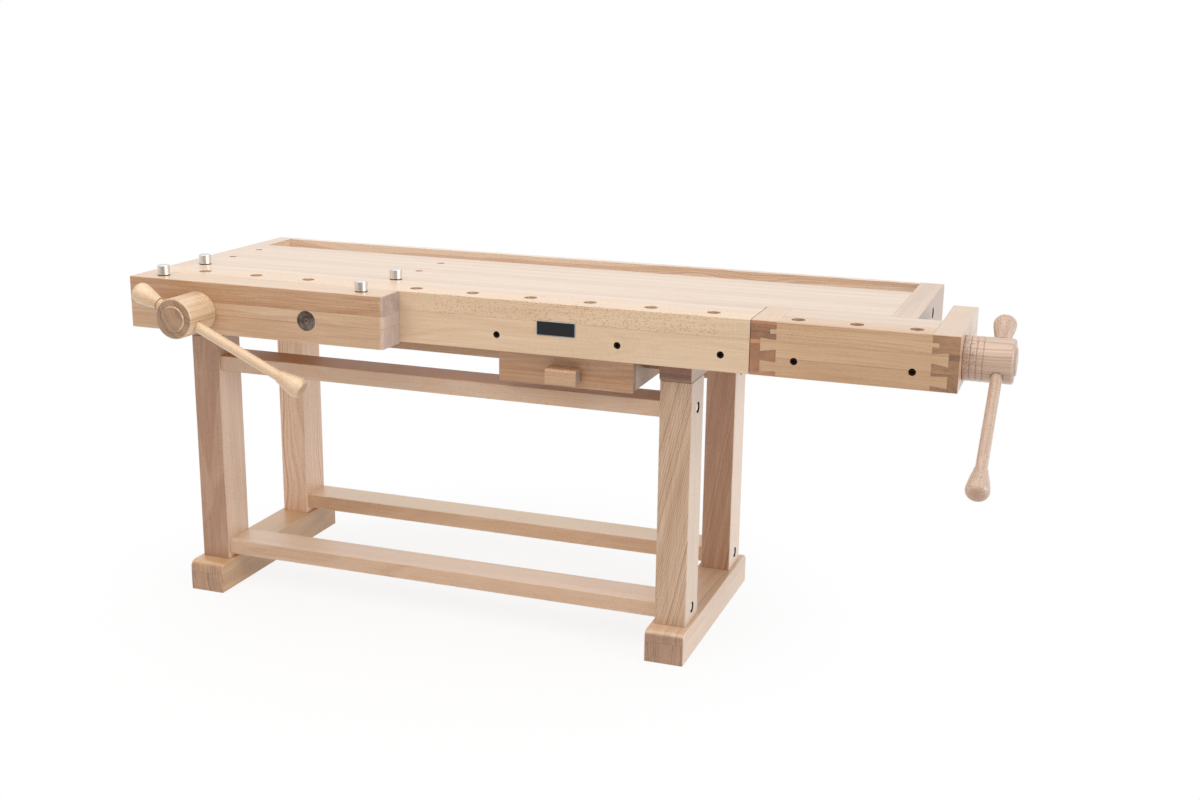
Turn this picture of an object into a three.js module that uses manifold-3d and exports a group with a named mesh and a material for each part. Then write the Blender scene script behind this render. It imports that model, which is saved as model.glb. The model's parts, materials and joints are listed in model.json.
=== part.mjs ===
// A cabinetmaker's workbench: a trestle base, a laminated top with a tool tray, a front vise,
// a dovetailed tail vise, a drawer and four steel bench dogs.
// Millimetres, +Z up. +X runs along the bench to the right, +Y to its back, the front faces -Y.
// Pieces are laid out from the top's left end, the beam's front face and the floor. The finished
// group is then moved so that its origin is on the floor, under the middle of its box.

import * as THREE from 'three';
import { mergeVertices } from 'three/addons/utils/BufferGeometryUtils.js';
import { ConvexGeometry } from 'three/addons/geometries/ConvexGeometry.js';
import Module from 'manifold-3d';

const wasm = await Module();
wasm.setup();

// Fits, edges and facets
const jointGap = 0.3; // between faces that are glued, bolted or seated
const runGap = 0.5; // between faces that slide or turn
const ease = 1.5; // chamfer on the outer edges of the wood
const overlap = 1; // how far a tool passes a face, and a joined lump enters its body
const holeSides = 24;
const boltSides = 12;
const arcSteps = 6;

// Top
const benchHeight = 850;
const frameHeight = 123; // beam, tail vise and end caps
const topDepth = 611;
const beamLength = 1536;
const beamThickness = 84;
const slabThickness = 45;
const tailRecess = 338; // from the beam's end to the top's right end
const tailDepth = 153; // width of the recess that the tail vise fills
const leftCapWidth = 46;
const rightCapWidth = 57;
const railThickness = 24;
const railHeight = 108;
const trayWidth = 118;
const trayBoard = 12;
const trayLap = 14; // how far the tray's board runs under the slab
const trayGroove = 10; // depth of its grooves in the rail and the end caps
const battenThickness = 36;
const battenRise = 6; // from the beam's underside to the batten's
const battenStart = 12; // from the front jaw's end
const plateLength = 94;
const plateHeight = 33.5;
const plateThickness = 1.6;
const plateInset = 452; // from the beam's right end to the plate's middle
const plateDrop = 59.5; // from the top surface to the plate's middle

// Dog holes and bench dogs
const dogDiameter = 29.6;
const dogLength = 110;
const dogProud = 25;
const dogChamfer = 1.5;
const beamDogInset = 42; // from the front face
const beamDogLast = 93.8; // from the beam's right end
const beamDogPitch = 145.8;
const beamDogMargin = 60; // least distance from the left end
const sideDogPlace = 68; // left column, from the left end
const jawDogInset = 76; // right column, from the front jaw's right end
const slabDogFirst = 133; // from the front face
const slabDogPitch = 127;
const slabDogRows = 3;
const slabHoleDiameter = 19; // behind the slab's first row
const tailDogInset = 38;
const tailDogFirst = 95.9; // from the tail vise's left end
const tailDogPitch = 127.7;
const tailDogs = 3;

// Bolts
const boltDiameter = 10;
const boltRecess = 27;
const boltRecessDepth = 11.2;
const boltBite = 60; // into the stretcher
const boltHead = 19; // across the corners
const boltHeadHeight = 8;
const washerDiameter = 24;
const washerThickness = 2.5;
const capBoltDiameter = 8;
const capBoltHead = 14.4;
const capBoltHeadHeight = 8;
const capBoltSocket = 8;
const capBoltSocketDepth = 5;
const capRecess = 16.6;
const capRecessDepth = 10;
const capBoltDrop = 85; // from the top surface
const beamBoltInsets = [64.8, 304.6, 599.4]; // from the beam's right end
const boltSpare = 3; // wood left past a bolt's end
const tailBoltInsets = [97.4, 351.4]; // from the tail vise's left end
const endBoltInset = 416; // right end cap, from the front face
const endBoltDrop = 36;

// Base
const leftTrestle = 97; // from the left end to the middle of the legs
const rightTrestle = 184.5; // from the beam's right end to the middle of the legs
const legWidth = 76.5;
const legDepth = 100;
const legSetback = 70; // from the beam's front face
const legSpan = 403; // front face of the front leg to front face of the rear leg
const footWidth = 96;
const footHeight = 78;
const footOverhang = 47; // in front of the legs
const footTail = 42; // behind the legs
const footRound = 18;
const bearerHeight = 51.5; // under the beam
const bearerNose = 8; // past the legs
const bearerRound = 12;
const tenonWidth = 36;
const tenonDepth = 56;
const tenonLength = 36;
const stretcherHeight = 39.5;
const stretcherSetback = 8; // from the leg's front face
const lowerStretcherGap = 13; // over the foot
const upperStretcherDrop = 49; // under the bearer
const stubLength = 14;
const stubMargin = 8;

// Front vise
const jawLength = 688;
const jawHeight = 126.5;
const jawThickness = 86;
const jawRound = 11;
const frontScrewPlace = 192;
const guideBarPlace = 487;
const guideBarDiameter = 48;
const guideBarClear = 4; // under the slab
const guideBarSpare = 80; // left in the beam at full travel
const frontTravel = 160;
const nutFlange = 84;
const nutFlangeThickness = 10;
const nutDiameter = 52;
const nutLength = 46;

// Tail vise
const tailGap = 54; // from the top's right end to the end block, closed
const tailOpen = 1.6; // from the beam's end to the jaw block, closed
const tailTravel = 144;
const tailBoard = 66;
const jawBlockWidth = 57;
const endBlockWidth = 57;
const endBlockDepth = 343;
const coverThickness = 36;
const tongueDepth = 12;
const tongueThickness = 12;
const tongueDrop = 18; // from the top surface
const tongueInset = 6; // from the cover's left end
const tailScrewInset = 96; // from the front face
const tailScrewClear = 15; // under the cover
const tailRodInset = 290;
const tailRodDrop = 75;
const tailRodDiameter = 22;
const tailRodSeat = 44; // into the end block
const tailRodSpare = 30; // left in the end cap at full travel
const nutBlockClear = 2; // under the cover and behind the front board
const nutBlockHeight = 74;
const nutTenonLength = 26;
const nutTenonMargin = 14;
// each tail's length, and the distances of its edges below the top surface, at its root and at its tip
const dovetails = [
  { length: 14, root: [18, 28], tip: [18, 28] },
  { length: 35, root: [41, 62], tip: [38, 68] },
  { length: 35, root: [90, 111], tip: [88, 115] },
];

// Vise screws, hubs and handles
const screwDiameter = 28;
const screwSpare = 12; // past the nut at full travel
const screwSeat = 46; // into the hub
const collarDiameter = 44;
const collarThickness = 10;
const hubDiameter = 98;
const hubLength = 105;
const hubChamfer = 5;
const hubDiscDiameter = 62;
const hubDiscRise = 4;
const hubGrooves = [14, 27.7, 41.3]; // from the hub's base
const hubGrooveWidth = 3;
const hubGrooveDepth = 1.6;
const hubSides = 28;
const handlePlace = 72.8; // from the hub's base
const handleLength = 499;
const stickDiameter = 25;
const knobDiameter = 50;
const knobLength = 72;
const knobDome = 20; // from the tip to the widest ring
const knobCollar = 31;
const knobCollarLength = 4;
const handleSides = 16;
const knobSteps = 7;
const knobSwell = 1.4; // 1 makes the taper a plain cone, more keeps it full for longer
const frontHandleTilt = 24.8; // degrees below level, to the right
const frontHandleSlide = 16.3; // upper knob's distance from the hub
const tailHandleTilt = 54.9; // degrees from upright, to the front
const tailHandleSlide = 4.5;

// Drawer
const drawerWidth = 333;
const drawerClear = 92.5; // from the right trestle's middle
const drawerSetback = 38; // from the beam's front face
const drawerDepth = 442;
const drawerHeight = 77.5;
const drawerDrop = 3; // under the beam
const drawerFrontThickness = 19;
const drawerWall = 14;
const drawerLip = 4; // the sides stay this much inside the front's top and bottom
const drawerBottomThickness = 6;
const drawerBottomRise = 5; // from the sides' lower edge
const drawerGroove = 5;
const slipWidth = 7; // the strip on each side that runs in the runner
const slipHeight = 10;
const slipDrop = 8; // from the side's upper edge
const slipStart = 75; // behind the drawer's front
const runnerWidth = 36;
const runnerFoot = 12; // wood left under the runner's groove
const runnerLength = 300;
const pullWidth = 77;
const pullDepth = 34;
const pullHeight = 36;
const pullRise = 13; // from the front's lower edge
const pullRound = 9;

// Places worked out from the sizes above
const topZ = benchHeight;
const beamBottom = topZ - frameHeight;
const slabBottom = topZ - slabThickness;
const bodyLength = beamLength + tailRecess;
const slabRight = bodyLength - rightCapWidth;
const railFront = topDepth - railThickness;
const slabBack = railFront - trayWidth;
const recessEdge = tailDepth + runGap;
const dogHoleRadius = dogDiameter / 2 + runGap;
const bearerBottom = beamBottom - bearerHeight;
const legFaces = { front: legSetback, rear: legSetback + legSpan };
const legBack = legFaces.rear + legDepth;
const trestles = { left: leftTrestle, right: beamLength - rightTrestle };
const stretcherLevels = {
  lower: footHeight + lowerStretcherGap,
  upper: bearerBottom - upperStretcherDrop - stretcherHeight,
};
const jawFront = -runGap - jawThickness;
const jawBottom = topZ - jawHeight;
const jawDogPlaces = [sideDogPlace, jawLength - jawDogInset];
const jawDogInsetY = (jawFront - runGap) / 2;
const frontScrewZ = slabBottom - guideBarClear - guideBarDiameter / 2;
const capBoltZ = topZ - capBoltDrop;
const battenFront = beamThickness + jointGap;
const battenBack = battenFront + battenThickness;
const tailLeft = beamLength + tailOpen;
const endBlockLeft = bodyLength + tailGap;
const endBlockRight = endBlockLeft + endBlockWidth;
const jawBlockRight = tailLeft + jawBlockWidth;
const coverBottom = topZ - coverThickness;
const tailScrewZ = coverBottom - tailScrewClear - screwDiameter / 2;
const tailRodZ = topZ - tailRodDrop;
const screwBore = screwDiameter / 2 + 2 * runGap;

// Materials
function wood(colour) {
  return new THREE.MeshStandardMaterial({ color: colour, roughness: 0.55, metalness: 0 });
}

function metal(colour, roughness) {
  return new THREE.MeshStandardMaterial({ color: colour, roughness, metalness: 1 });
}

const paleBeech = wood('#e6d2ba');
const beech = wood('#d6b592');
const legBeech = wood('#c9a583');
const turnedBeech = wood('#dbbd9b');
const brightSteel = metal('#d5d6d8', 0.25);
const zincSteel = metal('#c9cbd0', 0.35);
const greySteel = metal('#7c7b78', 0.45);
const blackSteel = metal('#241c18', 0.6);
const plateFinish = wood('#20242b');

// Solids
function solid(geometry) {
  const bare = new THREE.BufferGeometry();
  bare.setAttribute('position', geometry.getAttribute('position').clone());
  bare.setIndex(geometry.getIndex());
  const merged = mergeVertices(bare, 1e-4);
  const index = merged.getIndex().array;
  const triangles = [];
  for (let i = 0; i < index.length; i += 3) {
    const [a, b, c] = index.slice(i, i + 3);
    if (a !== b && b !== c && c !== a) {
      triangles.push(a, b, c);
    }
  }
  return new wasm.Manifold(new wasm.Mesh({
    numProp: 3,
    vertProperties: Float32Array.from(merged.getAttribute('position').array),
    triVerts: Uint32Array.from(triangles),
  }));
}

function join(...geometries) {
  return geometries.map(solid).reduce((whole, piece) => whole.add(piece));
}

function cut(body, ...tools) {
  return tools.map(solid).reduce((whole, tool) => whole.subtract(tool), body);
}

function geometryOf(body) {
  const { vertProperties, triVerts } = body.getMesh();
  const geometry = new THREE.BufferGeometry();
  geometry.setAttribute('position', new THREE.BufferAttribute(Float32Array.from(vertProperties), 3));
  geometry.setIndex(new THREE.BufferAttribute(Uint32Array.from(triVerts), 1));
  geometry.computeVertexNormals();
  return geometry;
}

// A plain block between two corners, given in any order
function block(x0, x1, y0, y1, z0, z1) {
  const geometry = new THREE.BoxGeometry(Math.abs(x1 - x0), Math.abs(y1 - y0), Math.abs(z1 - z0));
  return geometry.translate((x0 + x1) / 2, (y0 + y1) / 2, (z0 + z1) / 2);
}

// A block whose twelve edges are chamfered
function easedBlock(x0, x1, y0, y1, z0, z1) {
  const centre = new THREE.Vector3((x0 + x1) / 2, (y0 + y1) / 2, (z0 + z1) / 2);
  const half = new THREE.Vector3((x1 - x0) / 2, (y1 - y0) / 2, (z1 - z0) / 2);
  const points = [];
  for (const full of ['x', 'y', 'z']) {
    for (let corner = 0; corner < 8; corner += 1) {
      const point = new THREE.Vector3();
      ['x', 'y', 'z'].forEach((axis, bit) => {
        const reach = half[axis] - (axis === full ? 0 : ease);
        point[axis] = centre[axis] + (corner & (1 << bit) ? reach : -reach);
      });
      points.push(point);
    }
  }
  return new ConvexGeometry(points);
}

// A round bar along one axis. The two centre values are its place on the other axes, in XYZ order.
function bar(axis, radius, from, to, first, second, sides = holeSides) {
  const geometry = new THREE.CylinderGeometry(radius, radius, Math.abs(to - from), sides);
  const middle = (from + to) / 2;
  if (axis === 'x') {
    return geometry.rotateZ(-Math.PI / 2).translate(middle, first, second);
  }
  if (axis === 'y') {
    return geometry.translate(first, middle, second);
  }
  return geometry.rotateX(Math.PI / 2).translate(first, second, middle);
}

function polygon(points) {
  return new THREE.Shape(points.map(([a, b]) => new THREE.Vector2(a, b)));
}

function extrusion(shape, length, bevel) {
  const geometry = new THREE.ExtrudeGeometry(shape, {
    depth: length - 2 * bevel,
    bevelEnabled: bevel > 0,
    bevelThickness: bevel,
    bevelSize: bevel,
    bevelOffset: -bevel,
    bevelSegments: 1,
    curveSegments: arcSteps,
  });
  return geometry.translate(0, 0, bevel);
}

const alongXBasis = new THREE.Matrix4().makeBasis(
  new THREE.Vector3(0, 1, 0),
  new THREE.Vector3(0, 0, 1),
  new THREE.Vector3(1, 0, 0),
);
const alongYBasis = new THREE.Matrix4().makeBasis(
  new THREE.Vector3(1, 0, 0),
  new THREE.Vector3(0, 0, 1),
  new THREE.Vector3(0, -1, 0),
);

// A (y, z) outline carried along X
function alongX(shape, x0, x1, bevel = 0) {
  return extrusion(shape, x1 - x0, bevel).applyMatrix4(alongXBasis).translate(x0, 0, 0);
}

// An (x, z) outline carried along Y
function alongY(shape, y0, y1, bevel = 0) {
  return extrusion(shape, y1 - y0, bevel).applyMatrix4(alongYBasis).translate(0, y1, 0);
}

// An (x, y) outline carried along Z
function alongZ(shape, z0, z1, bevel = 0) {
  return extrusion(shape, z1 - z0, bevel).translate(0, 0, z0);
}

// A rectangle with its low-side and high-side corners chamfered where asked
function easedRectangle(a0, a1, b0, b1, lowSide, highSide) {
  const low = lowSide ? ease : 0;
  const high = highSide ? ease : 0;
  const points = low ? [[a0, b0 + low], [a0 + low, b0]] : [[a0, b0]];
  points.push(...(high ? [[a1 - high, b0], [a1, b0 + high]] : [[a1, b0]]));
  points.push(...(high ? [[a1, b1 - high], [a1 - high, b1]] : [[a1, b1]]));
  points.push(...(low ? [[a0 + low, b1], [a0, b1 - low]] : [[a0, b1]]));
  return polygon(points);
}

const bench = new THREE.Group();

function add(name, shape, material, parent = bench) {
  const geometry = shape instanceof wasm.Manifold ? geometryOf(shape) : geometryOf(solid(shape));
  const mesh = new THREE.Mesh(geometry, material);
  mesh.name = name;
  parent.add(mesh);
  return mesh;
}

// Feet: sled feet with rounded top corners and a mortise under each leg
function tenonAt(centre, face, z0, z1, grow) {
  const y = face + legDepth / 2;
  const x = tenonWidth / 2 + grow;
  const reach = tenonDepth / 2 + grow;
  return block(centre - x, centre + x, y - reach, y + reach, z0, z1);
}

function foot(centre) {
  const front = legFaces.front - footOverhang;
  const back = legBack + footTail;
  const shape = new THREE.Shape();
  shape.moveTo(front, 0);
  shape.lineTo(back, 0);
  shape.lineTo(back, footHeight - footRound);
  shape.absarc(back - footRound, footHeight - footRound, footRound, 0, Math.PI / 2);
  shape.lineTo(front + footRound, footHeight);
  shape.absarc(front + footRound, footHeight - footRound, footRound, Math.PI / 2, Math.PI);
  const body = solid(alongX(shape, centre - footWidth / 2, centre + footWidth / 2, ease));
  const mortiseFloor = footHeight - tenonLength - jointGap;
  const mortises = Object.values(legFaces).map((face) =>
    tenonAt(centre, face, mortiseFloor, footHeight + overlap, jointGap));
  return cut(body, ...mortises);
}

// Room for the rail where a bearer reaches it
function railNotch(centre, back) {
  return block(
    centre - legWidth / 2 - overlap,
    centre + legWidth / 2 + overlap,
    railFront - jointGap,
    Math.max(back, topDepth) + overlap,
    topZ - railHeight - jointGap,
    topZ,
  );
}

// Bearers: carry the top, notched for the beam, the tray and the rail, rounded under both ends
function bearer(centre, ...reliefs) {
  const front = legFaces.front - bearerNose;
  const back = legBack + bearerNose;
  const round = bearerRound;
  const underBeam = beamBottom - jointGap;
  const underSlab = slabBottom - jointGap;
  const underTray = underSlab - trayBoard - jointGap;
  const slabStep = recessEdge + jointGap;
  const trayStep = slabBack - trayLap - jointGap;
  const shape = new THREE.Shape();
  shape.moveTo(front + round, bearerBottom);
  shape.lineTo(back - round, bearerBottom);
  shape.absarc(back - round, bearerBottom + round, round, -Math.PI / 2, 0);
  shape.lineTo(back, underTray);
  shape.lineTo(trayStep, underTray);
  shape.lineTo(trayStep, underSlab);
  shape.lineTo(slabStep, underSlab);
  shape.lineTo(slabStep, underBeam);
  shape.lineTo(front, underBeam);
  shape.lineTo(front, bearerBottom + round);
  shape.absarc(front + round, bearerBottom + round, round, Math.PI, Math.PI * 1.5);
  const body = solid(alongX(shape, centre - legWidth / 2, centre + legWidth / 2, ease));
  const mortiseRoof = bearerBottom + tenonLength + jointGap;
  const mortises = Object.values(legFaces).map((face) =>
    tenonAt(centre, face, bearerBottom - overlap, mortiseRoof, jointGap));
  return cut(body, ...mortises, railNotch(centre, back), ...reliefs);
}

// Room in the left bearer for the dogs of the column above it
function dogRelief() {
  const x0 = trestles.left - legWidth / 2 - overlap;
  const x1 = sideDogPlace + dogDiameter;
  const y0 = slabDogFirst - dogDiameter;
  const y1 = slabDogFirst + (slabDogRows - 1) * slabDogPitch + dogDiameter;
  return block(x0, x1, y0, y1, topZ - dogLength - dogProud / 2, topZ);
}

// Stretcher section, shared by the stretchers and their seats in the legs
function stretcherY(face) {
  return [face + stretcherSetback, face + legDepth];
}

function stubAt(x0, x1, face, level, grow) {
  const [y0, y1] = stretcherY(face);
  const inset = stubMargin - grow;
  return block(x0, x1, y0 + inset, y1 - inset, level + inset, level + stretcherHeight - inset);
}

function boltPlace(face, level) {
  const [y0, y1] = stretcherY(face);
  return [(y0 + y1) / 2, level + stretcherHeight / 2];
}

// Legs: tenoned at both ends, with a stub seat and a bolt hole for each stretcher
function leg(centre, outward, face) {
  const bottom = footHeight + jointGap;
  const top = bearerBottom - jointGap;
  const inner = centre - (outward * legWidth) / 2;
  const outer = centre + (outward * legWidth) / 2;
  const body = join(
    alongZ(
      easedRectangle(centre - legWidth / 2, centre + legWidth / 2, face, face + legDepth, true, true),
      bottom,
      top,
    ),
    tenonAt(centre, face, footHeight - tenonLength, bottom + overlap, 0),
    tenonAt(centre, face, top - overlap, bearerBottom + tenonLength, 0),
  );
  const tools = Object.values(stretcherLevels).flatMap((level) => {
    const [y, z] = boltPlace(face, level);
    const seatFloor = inner + outward * (stubLength + jointGap);
    const recessFloor = outer - outward * boltRecessDepth;
    return [
      stubAt(inner - outward * overlap, seatFloor, face, level, jointGap),
      bar('x', boltRecess / 2, recessFloor, outer + outward * overlap, y, z),
      bar('x', boltDiameter / 2 + jointGap, inner, outer, y, z, boltSides),
    ];
  });
  return cut(body, ...tools);
}

function stretcher(face, level) {
  const x0 = trestles.left + legWidth / 2 + jointGap;
  const x1 = trestles.right - legWidth / 2 - jointGap;
  const [y0, y1] = stretcherY(face);
  const body = join(
    alongX(easedRectangle(y0, y1, level, level + stretcherHeight, true, true), x0, x1),
    stubAt(x0 - jointGap - stubLength, x0 + overlap, face, level, 0),
    stubAt(x1 - overlap, x1 + jointGap + stubLength, face, level, 0),
  );
  const [y, z] = boltPlace(face, level);
  const depth = boltBite + jointGap;
  const radius = boltDiameter / 2 + jointGap;
  return cut(
    body,
    bar('x', radius, x0 - stubLength - overlap, x0 + depth, y, z, boltSides),
    bar('x', radius, x1 - depth, x1 + stubLength + overlap, y, z, boltSides),
  );
}

// Hexagon bolt with its washer, from the leg's recess into the stretcher
function stretcherBolt(centre, outward, face, level) {
  const [y, z] = boltPlace(face, level);
  const seat = centre + outward * (legWidth / 2 - boltRecessDepth + jointGap);
  const end = centre - outward * (legWidth / 2 + boltBite);
  const washerTop = seat + outward * washerThickness;
  const headTop = washerTop + outward * boltHeadHeight;
  return join(
    bar('x', boltDiameter / 2, end, washerTop, y, z, boltSides),
    bar('x', washerDiameter / 2, seat, washerTop, y, z, boltSides),
    bar('x', boltHead / 2, seat, headTop, y, z, 6),
  );
}

for (const [side, centre] of Object.entries(trestles)) {
  const outward = side === 'left' ? -1 : 1;
  add(`${side}_foot`, foot(centre), beech);
  add(`${side}_top_bearer`, bearer(centre, ...(side === 'left' ? [dogRelief()] : [])), legBeech);
  for (const [end, face] of Object.entries(legFaces)) {
    add(`${side}_${end}_leg`, leg(centre, outward, face), legBeech);
    for (const [level, z] of Object.entries(stretcherLevels)) {
      add(`${side}_${end}_${level}_bolt`, stretcherBolt(centre, outward, face, z), zincSteel);
    }
  }
}

for (const [end, face] of Object.entries(legFaces)) {
  for (const [level, z] of Object.entries(stretcherLevels)) {
    add(`${end}_${level}_stretcher`, stretcher(face, z), beech);
  }
}

// Places of the dog holes
const beamDogPlaces = [];
for (let x = beamLength - beamDogLast; x > beamDogMargin; x -= beamDogPitch) {
  beamDogPlaces.push(x);
}
const slabDogPlaces = jawDogPlaces.flatMap((x) =>
  Array.from({ length: slabDogRows }, (_, row) => [x, slabDogFirst + row * slabDogPitch]));
const tailDogPlaces = Array.from({ length: tailDogs }, (_, i) =>
  tailLeft + tailDogFirst + i * tailDogPitch);

function dogHole(x, y, z0) {
  return bar('z', dogHoleRadius, z0 - overlap, topZ + overlap, x, y);
}

// The slab's first row takes dogs, the rows behind it are narrower
function slabHole(x, y) {
  const radius = y === slabDogFirst ? dogHoleRadius : slabHoleDiameter / 2;
  return bar('z', radius, slabBottom - overlap, topZ + overlap, x, y);
}

// Socket-head bolt along Y, set into a round recess in a front face
function capBoltTools(x, end) {
  return [
    bar('y', capRecess / 2, -overlap, capRecessDepth, x, capBoltZ),
    bar('y', capBoltDiameter / 2 + jointGap, 0, end + jointGap, x, capBoltZ, boltSides),
  ];
}

function capBolt(x, end) {
  const seat = capRecessDepth - jointGap;
  const face = seat - capBoltHeadHeight;
  const body = join(
    bar('y', capBoltHead / 2, face, seat, x, capBoltZ, boltSides),
    bar('y', capBoltDiameter / 2, seat - overlap, end, x, capBoltZ, boltSides),
  );
  return cut(body, bar('y', capBoltSocket / 2, face - overlap, face + capBoltSocketDepth, x, capBoltZ, 6));
}

// Front beam with its dog holes, vise bores and bolts
const beamBoltPlaces = beamBoltInsets.map((inset) => beamLength - inset);
const beamBoltEnd = battenBack - boltSpare;
const beamBody = solid(alongX(
  easedRectangle(0, beamThickness, beamBottom, topZ, true, false),
  0,
  beamLength,
));
add('front_beam', cut(
  beamBody,
  ...beamDogPlaces.map((x) => dogHole(x, beamDogInset, beamBottom)),
  bar('y', screwBore, -overlap, beamThickness + overlap, frontScrewPlace, frontScrewZ),
  bar('y', guideBarDiameter / 2 + runGap, -overlap, beamThickness + overlap, guideBarPlace, frontScrewZ),
  ...beamBoltPlaces.flatMap((x) => capBoltTools(x, beamThickness + overlap)),
), beech);

const battenBody = solid(block(
  jawLength + battenStart,
  beamLength,
  battenFront,
  battenBack,
  beamBottom + battenRise,
  slabBottom - jointGap,
));
add('front_batten', cut(
  battenBody,
  ...beamBoltPlaces.map((x) =>
    bar('y', capBoltDiameter / 2 + jointGap, 0, beamBoltEnd + jointGap, x, capBoltZ, boltSides)),
), beech);
beamBoltPlaces.forEach((x, i) => {
  add(`beam_bolt_${i + 1}`, capBolt(x, beamBoltEnd), blackSteel);
});

// Slab: stepped back beside the tail vise, with a groove there for the cover's tongue
const slabX0 = leftCapWidth + jointGap;
const slabX1 = slabRight - jointGap;
const slabY0 = beamThickness + jointGap;
const slabOutline = polygon([
  [slabX0, slabY0],
  [beamLength, slabY0],
  [beamLength, recessEdge],
  [slabX1, recessEdge],
  [slabX1, slabBack],
  [slabX0, slabBack],
]);
const tongueTop = topZ - tongueDrop;
const tongueGroove = block(
  beamLength - overlap,
  bodyLength + overlap,
  tailDepth - overlap,
  tailDepth + tongueDepth + 2 * runGap,
  tongueTop - tongueThickness - runGap,
  tongueTop + runGap,
);
add('bench_slab', cut(
  solid(alongZ(slabOutline, slabBottom, topZ)),
  tongueGroove,
  ...slabDogPlaces.map(([x, y]) => slabHole(x, y)),
), paleBeech);

// Tool tray: its board lies under the slab's back edge and in grooves of the rail and the caps
const trayTop = slabBottom - jointGap;
const trayX0 = leftCapWidth - trayGroove;
const trayX1 = slabRight + trayGroove;
const trayY0 = slabBack - trayLap;
const trayY1 = railFront + trayGroove;
function trayPlate(grow) {
  return block(
    trayX0 - grow,
    trayX1 + grow,
    trayY0 - grow,
    trayY1 + grow,
    trayTop - trayBoard - grow,
    trayTop + grow,
  );
}
add('tray_bottom', trayPlate(0), paleBeech);
add('rear_rail', cut(
  solid(alongX(
    easedRectangle(railFront, topDepth, topZ - railHeight, topZ, false, true),
    leftCapWidth + jointGap,
    slabX1,
  )),
  trayPlate(jointGap),
), beech);
add('left_end_cap', cut(
  solid(alongY(
    easedRectangle(0, leftCapWidth, beamBottom, topZ, true, false),
    beamThickness + jointGap,
    topDepth,
  )),
  trayPlate(jointGap),
), paleBeech);

// Vise nuts
const tailNut = {
  x0: slabRight,
  x1: bodyLength,
  y0: tailBoard + nutBlockClear,
  y1: recessEdge - jointGap,
  z0: coverBottom - nutBlockClear - nutBlockHeight,
  z1: coverBottom - nutBlockClear,
};
function nutTenon(grow) {
  const margin = nutTenonMargin - grow;
  return block(
    tailNut.x0 + margin,
    tailNut.x1 - margin,
    tailNut.y1 - overlap,
    recessEdge + nutTenonLength + grow,
    tailNut.z0 + margin,
    tailNut.z1 - margin,
  );
}
add('tail_nut_block', cut(
  join(block(tailNut.x0, tailNut.x1, tailNut.y0, tailNut.y1, tailNut.z0, tailNut.z1), nutTenon(0)),
  bar('x', screwBore, tailNut.x0 - overlap, tailNut.x1 + overlap, tailScrewInset, tailScrewZ),
), greySteel);
add('right_end_cap', cut(
  solid(alongY(
    easedRectangle(slabRight, bodyLength, beamBottom, topZ, false, true),
    recessEdge,
    topDepth,
  )),
  trayPlate(jointGap),
  tongueGroove,
  nutTenon(jointGap),
  bar('x', tailRodDiameter / 2 + runGap, slabRight - overlap, bodyLength + overlap, tailRodInset, tailRodZ),
  bar(
    'x',
    boltRecess / 2,
    bodyLength - boltRecessDepth,
    bodyLength + overlap,
    endBoltInset,
    topZ - endBoltDrop,
  ),
), paleBeech);

const nutFace = beamThickness + jointGap;
const nutFrontBack = nutFace + nutLength;
add('front_nut', cut(
  join(
    block(
      frontScrewPlace - nutFlange / 2,
      frontScrewPlace + nutFlange / 2,
      nutFace,
      nutFace + nutFlangeThickness,
      frontScrewZ - nutFlange / 2,
      Math.min(frontScrewZ + nutFlange / 2, slabBottom - jointGap),
    ),
    bar('y', nutDiameter / 2, nutFace + overlap, nutFrontBack, frontScrewPlace, frontScrewZ),
  ),
  bar('y', screwBore, 0, nutFrontBack + overlap, frontScrewPlace, frontScrewZ),
), greySteel);

// Blank plate on the beam's front face
const plateMiddle = beamLength - plateInset;
const plateZ = topZ - plateDrop;
add('blank_plate', block(
  plateMiddle - plateLength / 2,
  plateMiddle + plateLength / 2,
  -jointGap - plateThickness,
  -jointGap,
  plateZ - plateHeight / 2,
  plateZ + plateHeight / 2,
), plateFinish);

// Front jaw, its right front edge rounded, with its guide bar
const jawOutline = new THREE.Shape();
jawOutline.moveTo(0, jawFront);
jawOutline.lineTo(jawLength - jawRound, jawFront);
jawOutline.absarc(jawLength - jawRound, jawFront + jawRound, jawRound, -Math.PI / 2, 0);
jawOutline.lineTo(jawLength, -runGap);
jawOutline.lineTo(0, -runGap);
const collarSeat = collarThickness + runGap;
add('front_jaw', cut(
  solid(alongZ(jawOutline, jawBottom, topZ, ease)),
  ...jawDogPlaces.map((x) => dogHole(x, jawDogInsetY, jawBottom)),
  bar('y', screwBore, jawFront - overlap, overlap, frontScrewPlace, frontScrewZ),
  bar(
    'y',
    collarDiameter / 2 + runGap,
    jawFront - overlap,
    jawFront + collarSeat,
    frontScrewPlace,
    frontScrewZ,
  ),
  bar('y', guideBarDiameter / 2 + jointGap, jawFront - overlap, overlap, guideBarPlace, frontScrewZ),
), beech);
add('front_guide_bar', bar(
  'y',
  guideBarDiameter / 2,
  jawFront,
  beamThickness + frontTravel + guideBarSpare,
  guideBarPlace,
  frontScrewZ,
), greySteel);

// Turned hub: V grooves near the base, a chamfered rim and a raised disc on its face
function hubProfile() {
  const radius = hubDiameter / 2;
  const points = [[0, 0], [radius - ease, 0], [radius, ease]];
  for (const groove of hubGrooves) {
    points.push([radius, groove - hubGrooveWidth / 2]);
    points.push([radius - hubGrooveDepth, groove]);
    points.push([radius, groove + hubGrooveWidth / 2]);
  }
  points.push([radius, hubLength - hubChamfer]);
  points.push([radius - hubChamfer, hubLength]);
  points.push([hubDiscDiameter / 2, hubLength]);
  points.push([hubDiscDiameter / 2 - hubDiscRise, hubLength + hubDiscRise]);
  points.push([0, hubLength + hubDiscRise]);
  return points.map(([r, y]) => new THREE.Vector2(r, y));
}

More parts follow.
